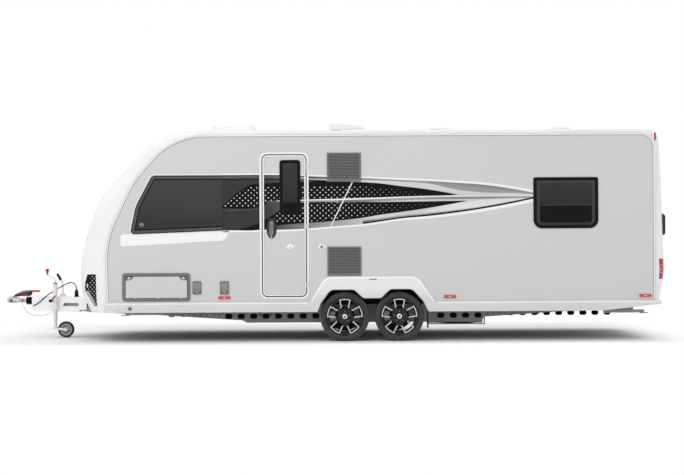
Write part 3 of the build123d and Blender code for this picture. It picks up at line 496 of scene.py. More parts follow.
# Near-white: the door catches' own white, and a painted highlight on the skirt's top bead and on the flare over the
# wheel arches.
WHITE_AND_HIGHLIGHT = Finish("white_and_painted_highlight", "skirt", (247, 247, 247), 0.32, coat=0.15, mottle=0.01, relief=0.02)
RAIL = Finish("rail_white", "rail", (234, 234, 234), 0.32, coat=0.15, mottle=0.015, relief=0.02)
GREY = Finish("grey_plastic", "grey_plastic", (104, 104, 105), 0.5, mottle=0.06, grain=900, relief=0.12)
MID_GREY = Finish("mid_grey_plastic", "grey_plastic", (130, 131, 132), 0.48, mottle=0.05, grain=900, relief=0.1)
WHITE = Finish("white_plastic", "white_plastic", (232, 232, 232), 0.4, mottle=0.02, grain=800, relief=0.05)
BLACK = Finish("black_plastic", "black_plastic", (24, 24, 25), 0.45, mottle=0.1, grain=900, relief=0.14, mirror=0.2)
SEAL = Finish("black_seal", "black_rubber", (24, 24, 25), 0.62, mottle=0.15, spread=8, relief=0.1, mirror=0.15)
RUBBER = Finish("black_rubber", "black_rubber", (38, 38, 39), 0.6, mottle=0.2, spread=14, relief=0.15, dust=0.3, mirror=0.2)
CABLE = Finish("cable_sheath", "black_rubber", (22, 23, 25), 0.45, mottle=0.12, spread=20, relief=0.1, mirror=0.2)
RED_SHEATH = Finish("red_sheath", "black_rubber", (138, 66, 74), 0.4, mottle=0.08, spread=20, relief=0.08, mirror=0.2)
RED = Finish("red_plastic", "black_plastic", (208, 34, 26), 0.38, coat=0.1, mottle=0.07, spread=12, relief=0.06, mirror=0.2)
DARK_RED = Finish("dark_red_grip", "black_plastic", (74, 14, 20), 0.45, mottle=0.2, spread=16, relief=0.15, mirror=0.2)
RIM = Finish("black_alloy", "rim", (15, 15, 16), 0.25, coat=0.12, mottle=0.1, spread=6, grain=700, relief=0.03, mirror=0.25)
# Brake drum steel: partly its own dark tone, partly darkened further as painted shade behind the spokes.
DRUM_IN_SHADE = Finish("drum_steel_painted_shade", "rim", (20, 19, 19), 0.7, metal=0.1, mottle=0.3, spread=18, relief=0.3, mirror=0.1)
ZINC = Galvanised("galvanised_steel", "galvanised", (164, 165, 166), 0.5, metal=0.4, relief=0.06)
AXLE = Galvanised("axle_steel", "axle_steel", (58, 58, 60), 0.6, metal=0.3, relief=0.15, crystals=60, mirror=0.3)
COUPLING = Finish("silver_casting", "coupling_steel", (198, 199, 201), 0.42, metal=0.35, mottle=0.08, spread=14, grain=500, relief=0.2)
BRIGHT = Finish("bright_metal", "coupling_steel", (214, 215, 217), 0.25, metal=0.8, mottle=0.05, spread=10, relief=0.05)
BOARD = Finish("underfloor_board", "floor_board", (44, 43, 42), 0.8, mottle=0.2, spread=4, grain=300, relief=0.3)
BOX = Finish("wheel_box_plastic", "black_plastic", (16, 16, 16), 0.75, mottle=0.2, spread=5, relief=0.3, mirror=0.1)
GLASS = Pane("tinted_acrylic", "window_glass", (50, 50, 50), 0.12, relief=0.004, light=(70, 70, 70), mirror=0.12)
EDGE_GLASS = Finish("printed_pane_edge", "window_glass", (15, 15, 16), 0.2, mottle=0.1, relief=0.01, mirror=0.1)
BAND_GLASS = Finish("pane_band", "window_glass", (82, 82, 83), 0.2, mottle=0.08, relief=0.01, mirror=0.15)
BLIND = Pane("window_blind", "window_glass", (42, 42, 43), 0.3, light=(54, 54, 54), low=1.55, high=1.9, mirror=0.12)
ROOF_LIGHT = Finish("roof_acrylic", "roof_light", (226, 228, 229), 0.2, coat=0.5, mottle=0.03, relief=0.01)
CLEAR = Lens("clear_lens", "lamp_clear", (205, 208, 210), 0.12, coat=0.6)
RED_LENS = Lens("red_lens", "lamp_red", (176, 16, 20), 0.15, coat=0.6)
AMBER = Lens("amber_lens", "lamp_amber", (236, 62, 20), 0.18, coat=0.5)
HEADLAMP = Dotted(
    "lamp_mesh", "lamp_clear", (16, 16, 17), 0.25, across=0.046, down=0.025, spot=0.0066,
    fade_start=9.0, fade_end=10.0, dot=(196, 196, 198), mirror=0.12,
)
FILM_DARK = Sweep("dark_film", "window_glass", (52, 52, 53), 0.25, far=(196, 197, 199), relief=0.004, mirror=0.15)
FILM_SILVER = Sweep(
    "silver_film", "window_glass", (84, 84, 85), 0.25, far=(214, 216, 218), start=-0.7, end=0.3, relief=0.004, mirror=0.2
)
FILM_GREY = Sweep(
    "grey_film", "window_glass", (66, 66, 67), 0.3, far=(128, 129, 131), start=-0.5, end=1.2, relief=0.004, mirror=0.2
)
FILM_SHADE = Sweep(
    "shaded_film", "window_glass", (66, 66, 67), 0.3, far=(106, 106, 108), start=-0.5, end=1.2, relief=0.004, mirror=0.2
)
FILM_WHITE = Finish("white_film", "window_glass", (238, 238, 236), 0.3, coat=0.2, mottle=0.01, relief=0.004)
FILM_BLACK = Finish("black_film", "window_glass", (15, 15, 16), 0.22, mottle=0.1, relief=0.004, mirror=0.1)
FILM_DOTS = Dotted("dotted_film", "window_glass", (13, 13, 14), 0.25, relief=0.004, mirror=0.1)
TUBE = Galvanised("bright_zinc", "galvanised", (228, 229, 230), 0.35, metal=0.3, relief=0.04, crystals=140)
HUB = Finish("hub_plastic", "galvanised", (176, 177, 178), 0.45, mottle=0.06, grain=900, relief=0.1)

GROOVE = Finish("shadow_groove", "rail", (132, 132, 133), 0.6, mottle=0.08, relief=0.05, mirror=0.2)
# Mid-grey lines of painted shade in creases, sheet joints and between ribs.
CREASE_SHADE = Finish("painted_crease_shade", "moulding", (196, 196, 197), 0.4, mottle=0.03, relief=0.02)
PLATE = Finish("number_plate", "white_plastic", (230, 230, 228), 0.35, mottle=0.02, relief=0.03)
# Near-black plates put on the chassis web as painted shade in its lightening holes.
HOLE_SHADE = Finish("painted_hole_shade", "galvanised", (22, 22, 23), 0.8, mottle=0.2, relief=0.1, mirror=0.1)
SILVER = Finish("silver_trim", "lamp_clear", (176, 177, 179), 0.35, metal=0.3, mottle=0.06, spread=9, relief=0.05)

SLOT_FINISH = {
    "wall_skin": WALL, "moulding": MOULDING, "roof_skin": ROOF, "skirt": SKIRT, "rail": RAIL,
    "grey_plastic": GREY, "white_plastic": WHITE, "black_plastic": BLACK, "black_rubber": RUBBER,
    "tyre": RUBBER, "rim": RIM, "galvanised": ZINC, "axle_steel": AXLE, "coupling_steel": COUPLING,
    "floor_board": BOARD, "window_glass": GLASS, "roof_light": ROOF_LIGHT, "lamp_clear": CLEAR,
    "lamp_red": RED_LENS, "lamp_amber": AMBER,
}
NODE_FINISH = {
    "wheel_boxes": BOX, "front_lamps": HEADLAMP, "handbrake_lever": TUBE, "jockey_tube": TUBE, "jockey_leg": TUBE,
    "jockey_fork": TUBE, "coupling_head": COUPLING, "drawbar_cover": COVER,
}


def dress_nodes() -> None:
    """Give every CAD node the finish of its slot, or its own."""
    for name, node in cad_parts.items():
        for slot in node.material_slots:
            kind = slot.material.name.split(".")[0]
            slot.material = NODE_FINISH.get(name, SLOT_FINISH.get(kind, GREY)).material
        log.info("%s: finish %s", name, node.material_slots[0].material.name)


# ---------------------------------------------------------------- mesh maker


class Axis(Enum):
    """The axis that a turned shape is spun about."""

    X = (1, 0, 0)
    Y = (0, 1, 0)
    Z = (0, 0, 1)


class Maker:
    """A mesh under construction, in millimetres, whose parts each take a finish."""

    def __init__(self) -> None:
        """Start with nothing."""
        self.bm = bmesh.new()
        self.finishes: list[Finish] = []

    def part(self, finish: Finish, build: Callable[[bmesh.types.BMesh], object]) -> "Maker":
        """Add one part.

        Args:
            finish: what it is made of.
            build: shapes it in an empty bmesh.

        Returns:
            This maker.
        """
        made = bmesh.new()
        build(made)
        bmesh.ops.remove_doubles(made, verts=made.verts, dist=1e-4)
        bmesh.ops.recalc_face_normals(made, faces=made.faces)
        if finish not in self.finishes:
            self.finishes.append(finish)
        for face in made.faces:
            face.material_index += self.finishes.index(finish)
        held = bpy.data.meshes.new("part")
        made.to_mesh(held)
        made.free()
        self.bm.from_mesh(held)
        bpy.data.meshes.remove(held)
        return self

    def plate(self, finish: Finish, corners: Sequence[Row], y0: float, y1: float, lip: float = 0.0) -> "Maker":
        """A flat plate between two values of y.

        Args:
            finish: what it is made of.
            corners: its outline as x, z and corner radius.
            y0: its showing face.
            y1: its back.
            lip: how far the showing edge is rounded.

        Returns:
            This maker.
        """

        def build(bm: bmesh.types.BMesh) -> None:
            """Shape the plate."""
            rounded(bm, corners, y0)
            thicken(bm, y1 - y0)
            if lip:
                soften(bm, lambda edge: all(abs(v.co.y - y0) < 1e-3 for v in edge.verts), lip)

        return self.part(finish, build)

    def ring(
        self, finish: Finish, corners: Sequence[Row], width: float, y0: float, y1: float, inset: float = 0.0,
        cut: tuple[Row, Row] = (),
    ) -> "Maker":
        """A flat band that follows an outline.

        Args:
            finish: what it is made of.
            corners: the outline as x, z and corner radius.
            width: the band's width, inwards.
            y0: its showing face.
            y1: its back.
            inset: how far in from the outline it starts; less than 0 is outside.
            cut: a point and the normal of a plane beyond which nothing is left.

        Returns:
            This maker.
        """

        def build(bm: bmesh.types.BMesh) -> None:
            """Shape the band."""
            band(bm, corners, inset, width, y0)
            if cut:
                everything = bm.verts[:] + bm.edges[:] + bm.faces[:]
                bmesh.ops.bisect_plane(bm, geom=everything, plane_co=cut[0], plane_no=cut[1], clear_outer=True)
            thicken(bm, y1 - y0)

        return self.part(finish, build)

    def draped(
        self, finish: Finish, skin: "Skin", corners: Sequence[Row], width: float = 0.0, proud: float = 1.0,
        deep: float = 3.0, inset: float = 0.0, pitch: float = 70,
    ) -> "Maker":
        """A plate or band bent onto a curved surface.

        Args:
            finish: what it is made of.
            skin: the surface.
            corners: the outline as two coordinates across the skin's axis and a corner radius.
            width: the band's width, or 0 for a whole plate.
            proud: how far its face stands off the surface.
            deep: its thickness.
            inset: how far in from the outline a band starts.
            pitch: the longest edge left, so that it bends with the surface.

        Returns:
            This maker.
        """

        def build(bm: bmesh.types.BMesh) -> None:
            """Cut the sheet fine enough to bend and lay it."""
            if width:
                band(bm, corners, inset, width, 0)
            else:
                rounded(bm, corners, 0)
                bmesh.ops.triangulate(bm, faces=bm.faces)
            for _ in range(5):
                long = [edge for edge in bm.edges if edge.calc_length() > pitch]
                bmesh.ops.subdivide_edges(bm, edges=long, cuts=1, use_grid_fill=True)
            skin.lay(bm, proud, deep)

        return self.part(finish, build)

    def block(self, finish: Finish, low: Row, high: Row, soft: float = 0.0) -> "Maker":
        """A box between two corners with softened edges."""

        def build(bm: bmesh.types.BMesh) -> None:
            """Shape the box."""
            size = [b - a for a, b in zip(low, high)]
            middle = [(a + b) / 2 for a, b in zip(low, high)]
            bmesh.ops.create_cube(bm, size=1, matrix=Matrix.Translation(middle) @ Matrix.Diagonal((*size, 1)))
            if soft:
                soften(bm, lambda edge: True, soft)

        return self.part(finish, build)

    def rod(
        self, finish: Finish, start: Row, end: Row, radius: float, tip: float | None = None, sides: int = 20
    ) -> "Maker":
        """A round bar or cone from one point to another.

        Args:
            finish: what it is made of.
            start: the middle of one end.
            end: the middle of the other end.
            radius: its radius at the start.
            tip: its radius at the end, when that differs.
            sides: flats round it.

        Returns:
            This maker.
        """

        def build(bm: bmesh.types.BMesh) -> None:
            """Shape the bar."""
            way = Vector(end) - Vector(start)
            turn = way.to_track_quat("Z", "Y").to_matrix().to_4x4()
            place = Matrix.Translation((Vector(start) + Vector(end)) / 2) @ turn
            bmesh.ops.create_cone(
                bm, cap_ends=True, segments=sides, radius1=radius,
                radius2=radius if tip is None else tip, depth=way.length, matrix=place,
            )

        return self.part(finish, build)

    def turned(
        self, finish: Finish, profile: Sequence[Row], centre: Row, axis: Axis, steps: int = 32, closed: bool = False
    ) -> "Maker":
        """A turned shape.

        Args:
            finish: what it is made of.
            profile: radius and distance along the axis.
            centre: where the axis starts.
            axis: the axis it is spun about.
            steps: flats round it.
            closed: whether the profile joins its own start.

        Returns:
            This maker.
        """

        def build(bm: bmesh.types.BMesh) -> None:
            """Spin the profile."""
            lathe(bm, profile, centre, axis, steps, closed)

        return self.part(finish, build)

    def ball(self, finish: Finish, centre: Row, radius: float, scale: Row = (1, 1, 1)) -> "Maker":
        """A ball, squashed along its axes."""

        def build(bm: bmesh.types.BMesh) -> None:
            """Shape the ball."""
            place = Matrix.Translation(centre) @ Matrix.Diagonal((*scale, 1))
            bmesh.ops.create_uvsphere(bm, u_segments=24, v_segments=14, radius=radius, matrix=place)

        return self.part(finish, build)

    def mirrored(self) -> "Maker":
        """Add the same parts on the far side of the caravan."""
        geom = self.bm.verts[:] + self.bm.edges[:] + self.bm.faces[:]
        bmesh.ops.mirror(self.bm, geom=geom, axis="Y", merge_dist=-1)
        bmesh.ops.recalc_face_normals(self.bm, faces=self.bm.faces)
        return self

    def done(self, name: str, body: str = "body", smooth: float = 35.0, stands_for: Sequence[str] = ()) -> bpy.types.Object:
        """Turn the mesh into a piece of the caravan.

        Args:
            name: the piece's name.
            body: the CAD body it rides on.
            smooth: edges below this many degrees are shaded smooth.
            stands_for: CAD nodes that it replaces.

        Returns:
            The piece.
        """
        bmesh.ops.scale(self.bm, vec=(MM, MM, MM), verts=self.bm.verts)
        mesh = bpy.data.meshes.new(name)
        self.bm.to_mesh(mesh)
        self.bm.free()
        mesh.shade_smooth()
        mesh.set_sharp_from_angle(angle=math.radians(smooth))
        for finish in self.finishes:
            mesh.materials.append(finish.material)
        piece = bpy.data.objects.new(name, mesh)
        bpy.context.scene.collection.objects.link(piece)
        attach(piece, body)
        if stands_for:
            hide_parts(*stands_for)
        log.info("%s: %d faces on %s", name, len(mesh.polygons), body)
        return piece


def rounded(bm: bmesh.types.BMesh, corners: Sequence[Row], y: float) -> bmesh.types.BMFace:
    """One face with rounded corners.

    Args:
        bm: where it is made.
        corners: x, z and radius of each corner.
        y: the plane it lies in.

    Returns:
        The face.
    """
    verts = [bm.verts.new((x, y, z)) for x, z, _ in corners]
    bm.faces.new(verts)
    for vert, (_, _, radius) in zip(verts, corners):
        if not radius:
            continue
        ways = [edge.other_vert(vert).co - vert.co for edge in vert.link_edges]
        turn = math.pi - ways[0].angle(ways[1])
        reach = radius * math.tan(turn / 2)
        bmesh.ops.bevel(
            bm, geom=[vert], offset=reach, offset_type="OFFSET", affect="VERTICES",
            segments=8, profile=0.5, material=-1,
        )
    bm.faces.ensure_lookup_table()
    return bm.faces[0]


class Skin:
    """The outer surface of CAD nodes, found by rays along one axis."""

    def __init__(self, nodes: Sequence[str], axis: Axis, side: int) -> None:
        """Keep the nodes' surfaces, and the side that the rays come from."""
        self.axis = axis
        self.out = Vector(axis.value) * side
        graph = bpy.context.evaluated_depsgraph_get()
        self.trees = [BVHTree.FromObject(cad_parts[name], graph) for name in nodes]

    def lay(self, bm: bmesh.types.BMesh, proud: float, deep: float) -> None:
        """Bend a flat sheet onto the surface and thicken it.

        Args:
            bm: the sheet, drawn in x and z.
            proud: how far its face stands off the surface.
            deep: its thickness.
        """
        order = {Axis.X: (1, 0, 2), Axis.Y: (0, 1, 2), Axis.Z: (0, 2, 1)}[self.axis]
        for vert in bm.verts:
            spot = Vector((0, 0, 0))
            spot[order[0]], spot[order[2]] = vert.co.x, vert.co.z
            start = spot * MM + self.out * 6
            hits = [tree.ray_cast(start, -self.out)[0] for tree in self.trees]
            far = max((hit.dot(self.out) for hit in hits if hit), default=0.0) / MM
            vert.co = spot + self.out * (far + proud)
        made = bmesh.ops.extrude_face_region(bm, geom=bm.faces[:])
        moved = [item for item in made["geom"] if isinstance(item, bmesh.types.BMVert)]
        bmesh.ops.translate(bm, verts=moved, vec=-self.out * deep)


def oblong(x0: float, x1: float, z0: float, z1: float, radius: float = 0) -> tuple[tuple[float, float, float], ...]:
    """The corners of a rounded rectangle."""
    return ((x0, z0, radius), (x1, z0, radius), (x1, z1, radius), (x0, z1, radius))


def band(bm: bmesh.types.BMesh, corners: Sequence[Row], inset: float, width: float, y: float) -> None:
    """A flat band that follows an outline.

    Args:
        bm: where it is made.
        corners: x, z and radius of each corner.
        inset: how far in from the outline it starts.
        width: its width.
        y: the plane it lies in.
    """
    for reach in (inset, inset + width):
        face = rounded(bm, shrunk(corners, reach), y)
        bmesh.ops.delete(bm, geom=[face], context="FACES_ONLY")
    bmesh.ops.bridge_loops(bm, edges=bm.edges[:])


def shrunk(corners: Sequence[Row], by: float) -> list[Row]:
    """An outline moved inwards.

    Args:
        corners: x, z and radius of each corner.
        by: how far; less than 0 grows it.

    Returns:
        The corners of the new outline.
    """
    spots = [Vector((x, z)) for x, z, _ in corners]
    area = sum(a.cross(b) for a, b in zip(spots, spots[1:] + spots[:1]))
    turn = Matrix.Rotation(math.copysign(math.pi / 2, area), 2)
    rows = []
    for i, (spot, (_, _, radius)) in enumerate(zip(spots, corners)):
        before = turn @ (spot - spots[i - 1]).normalized()
        after = turn @ (spots[(i + 1) % len(spots)] - spot).normalized()
        moved = spot + (before + after) * by / (1 + before.dot(after))
        rows.append((moved.x, moved.y, max(radius - by, 1.0) if radius else 0))
    return rows


def thicken(bm: bmesh.types.BMesh, along: float) -> None:
    """Extrude every face of a flat sheet along Y into a closed solid."""
    made = bmesh.ops.extrude_face_region(bm, geom=bm.faces[:])
    moved = [item for item in made["geom"] if isinstance(item, bmesh.types.BMVert)]
    bmesh.ops.translate(bm, verts=moved, vec=(0, along, 0))


def soften(bm: bmesh.types.BMesh, chosen: Callable[[bmesh.types.BMEdge], bool], reach: float, steps: int = 2) -> None:
    """Round the chosen edges that are sharper than 30 degrees."""
    bm.normal_update()
    edges = [
        edge for edge in bm.edges
        if len(edge.link_faces) == 2 and edge.calc_face_angle(0.0) > math.radians(30) and chosen(edge)
    ]
    bmesh.ops.bevel(
        bm, geom=edges, offset=reach, offset_type="OFFSET", affect="EDGES", segments=steps,
        profile=0.5, material=-1, clamp_overlap=True,
    )


def lathe(bm: bmesh.types.BMesh, profile: Sequence[Row], centre: Row, axis: Axis, steps: int, closed: bool) -> None:
    """Spin a profile of radius and distance along an axis.

    Args:
        bm: where it is made.
        profile: the rows of radius and distance.
        centre: the point at distance 0.
        axis: the axis.
        steps: flats round it.
        closed: whether the profile joins its own start.
    """
    along = Vector(axis.value)
    out = Vector((0, 0, 1)) if axis is not Axis.Z else Vector((1, 0, 0))
    verts = [bm.verts.new(Vector(centre) + out * radius + along * far) for radius, far in profile]
    edges = [bm.edges.new(pair) for pair in zip(verts, verts[1:])]
    if closed:
        edges.append(bm.edges.new((verts[-1], verts[0])))
    bmesh.ops.spin(
        bm, geom=verts + edges, cent=centre, axis=along, dvec=(0, 0, 0), angle=math.tau,
        steps=steps, use_merge=True, use_duplicate=False,
    )


# -------------------------------------------------------------------- studio


@dataclass
class Studio:
    """Camera, light and floor."""

    eye: tuple[float, float, float] = (0.186, -19.625, 1.2135)
    lens: float = 83.1
    lean: float = 0.3
    sky: float = 0.93
    key: float = 260.0
    floor_size: float = 60.0

    def camera(self) -> None:
        """Put the camera level, square to the door side."""
        data = bpy.data.cameras.new("camera")
        data.lens = self.lens
        data.sensor_width = 36
        data.clip_end = 200
        camera = bpy.data.objects.new("camera", data)
        camera.location = self.eye
        camera.rotation_euler = (math.radians(90), math.radians(self.lean), 0)
        bpy.context.scene.collection.objects.link(camera)
        bpy.context.scene.camera = camera

    def world(self) -> None:
        """A plain pale sky that shows as white."""
        world = bpy.data.worlds.new("studio")
        world.use_nodes = True
        tree = world.node_tree
        tree.nodes.clear()
        path = tree.nodes.new("ShaderNodeLightPath")
        seen = tree.nodes.new("ShaderNodeMath")
        seen.operation = "MAXIMUM"
        clear = tree.nodes.new("ShaderNodeMath")
        clear.operation = "MAXIMUM"
        tree.links.new(path.outputs["Is Camera Ray"], seen.inputs[0])
        tree.links.new(path.outputs["Is Glossy Ray"], seen.inputs[1])
        tree.links.new(seen.outputs[0], clear.inputs[0])
        tree.links.new(path.outputs["Is Transmission Ray"], clear.inputs[1])
        level = tree.nodes.new("ShaderNodeMapRange")
        level.inputs["To Min"].default_value = self.sky
        level.inputs["To Max"].default_value = 1.0
        tree.links.new(clear.outputs[0], level.inputs["Value"])
        sky = tree.nodes.new("ShaderNodeBackground")
        tree.links.new(level.outputs[0], sky.inputs["Strength"])
        sky.inputs["Color"].default_value = (1, 1, 1, 1)
        out = tree.nodes.new("ShaderNodeOutputWorld")
        tree.links.new(sky.outputs[0], out.inputs[0])
        bpy.context.scene.world = world

    def lamps(self) -> None:
        """One broad soft lamp high in front, one behind to lift the edges."""
        for name, place, size, power in (
            ("key_lamp", (-4.0, -9.0, 8.0), 7.0, self.key),
            ("rim_lamp", (4.0, 8.0, 7.0), 6.0, self.key * 0.5),
        ):
            data = bpy.data.lights.new(name, "AREA")
            data.shape = "SQUARE"
            data.size = size
            data.energy = power
            lamp = bpy.data.objects.new(name, data)
            lamp.location = place
            lamp.rotation_euler = (Vector((0, 0, 1)) - Vector(place)).to_track_quat("-Z", "Y").to_euler()
            bpy.context.scene.collection.objects.link(lamp)

    def floor(self) -> None:
        """A pale floor that keeps the caravan's shadow and shows as white away from it."""
        bm = bmesh.new()
        bmesh.ops.create_grid(bm, x_segments=8, y_segments=8, size=self.floor_size / 2)
        mesh = bpy.data.meshes.new("studio_floor")
        bm.to_mesh(mesh)
        bm.free()
        floor = bpy.data.objects.new("studio_floor", mesh)
        bpy.context.scene.collection.objects.link(floor)
        graph = Graph("studio_floor")
        x, y, _ = graph.place()
        far = y.rise(-1.3, -1.85).larger(y.rise(2.0, 3.5)).larger(x.size().rise(3.6, 4.4))
        path = graph.node("ShaderNodeLightPath")
        seen = Value(graph, path.outputs["Is Camera Ray"]).larger(Value(graph, path.outputs["Is Glossy Ray"]))
        matt = graph.node("ShaderNodeBsdfDiffuse", inputs={"Color": (0.9, 0.9, 0.9, 1)})
        glow = graph.node("ShaderNodeEmission", inputs={"Color": (1, 1, 1, 1), "Strength": 1.0})
        mixed = graph.node(
            "ShaderNodeMixShader", inputs={0: far * seen, 1: matt.outputs[0], 2: glow.outputs[0]}
        )
        graph.node("ShaderNodeOutputMaterial", inputs={"Surface": mixed.outputs[0]})
        mesh.materials.append(graph.material)

    def build(self) -> None:
        """Set the whole studio up."""
        bpy.context.scene.view_settings.view_transform = "Standard"
        self.camera()
        self.world()
        self.lamps()
        self.floor()


# --------------------------------------------------------------------- cords


@dataclass
class Cord:
    """A free cord on a smooth line through given control points."""

    name: str
    node: str
    finish: Finish
    route: tuple[tuple[float, float, float], ...]
    radius: float
    length: float
    far_end: str

    def build(self, pieces: Sequence[bpy.types.Object]) -> bpy.types.Object:
        """Args:
            pieces: what hangs on it; not used.

        Returns:
            The curve.
        """
        data = bpy.data.curves.new(self.name, "CURVE")
        data.dimensions = "3D"
        data.bevel_depth = self.radius * MM
        data.bevel_resolution = 5
        data.use_fill_caps = True
        data.resolution_u = 8
        spline = data.splines.new("NURBS")
        spline.points.add(len(self.route) - 1)
        for point, place in zip(spline.points, self.route):
            point.co = (*(v * MM for v in place), 1)
        spline.order_u = 3
        spline.use_endpoint_u = True
        data.materials.append(self.finish.material)
        cord = bpy.data.objects.new(self.name, data)
        bpy.context.scene.collection.objects.link(cord)
        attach(cord, "body")
        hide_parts(self.node)
        log.info("%s: cord of %.0f mm", self.name, self.length)
        return cord


TOW_CABLE = Cord(
    "tow_lead", "tow_cable", CABLE,
    (
        (-3636, -92, 389), (-3618, -93, 398), (-3592, -97, 411), (-3562, -103, 432), (-3528, -108, 461),
        (-3490, -108, 495), (-3450, -101, 525), (-3405, -93, 553), (-3352, -89, 588), (-3312, -87, 612),
        (-3272, -86, 634), (-3240, -85, 652), (-3205, -84, 668), (-3172, -84, 675), (-3144, -85, 669),
        (-3120, -86, 650), (-3105, -87, 622), (-3102, -87, 594),
    ),
    6, 669, "plug",
)
BREAKAWAY = Cord(
    "breakaway_wire", "breakaway_cable", RED_SHEATH,
    (
        (-3399, -45, 385.5), (-3399, -45, 352), (-3404, -42, 318), (-3424, -36, 296), (-3458, -30, 283),
        (-3500, -27, 271), (-3545, -26, 263), (-3590, -26, 262), (-3636, -27, 267), (-3680, -29, 278),
        (-3712, -32, 301), (-3738, -33, 332), (-3760, -32, 355), (-3769, -31, 384), (-3788, -30, 408),
    ),
    2, 531, "fitting",
)


@dataclass
class Plug:
    """The seven-pin plug parked on the drawbar cover, and the clip of the breakaway wire."""

    x: float = -3102
    y: float = -87
    foot: float = 497.3

    def build(self) -> bpy.types.Object:
        """Turn the plug's ribbed body.

        Returns:
            The plug.
        """
        profile = [(0, 0), (27, 0), (28, 3), (28, 14), (25, 17)]
        for rib in range(5):
            foot = 20 + rib * 9
            profile += [(24, foot), (24, foot + 5), (22.5, foot + 6), (22.5, foot + 8)]
        profile += [(21, 66), (14, 82), (10, 92), (9.2, 95), (6, 95), (0, 95)]
        return Maker().turned(SEAL, profile, (self.x, self.y, self.foot), Axis.Z, 28).done(
            "parked_plug", stands_for=["tow_plug"]
        )

    def clip(self) -> bpy.types.Object:
        """Make the wire's spring clip at the coupling.

        Returns:
            The clip.
        """
        maker = Maker().block(BRIGHT, (-3794.5, -34.5, 410), (-3785.5, -27.5, 429), 1.5)
        return maker.done("breakaway_clip")


# -------------------------------------------------------------------- wheels


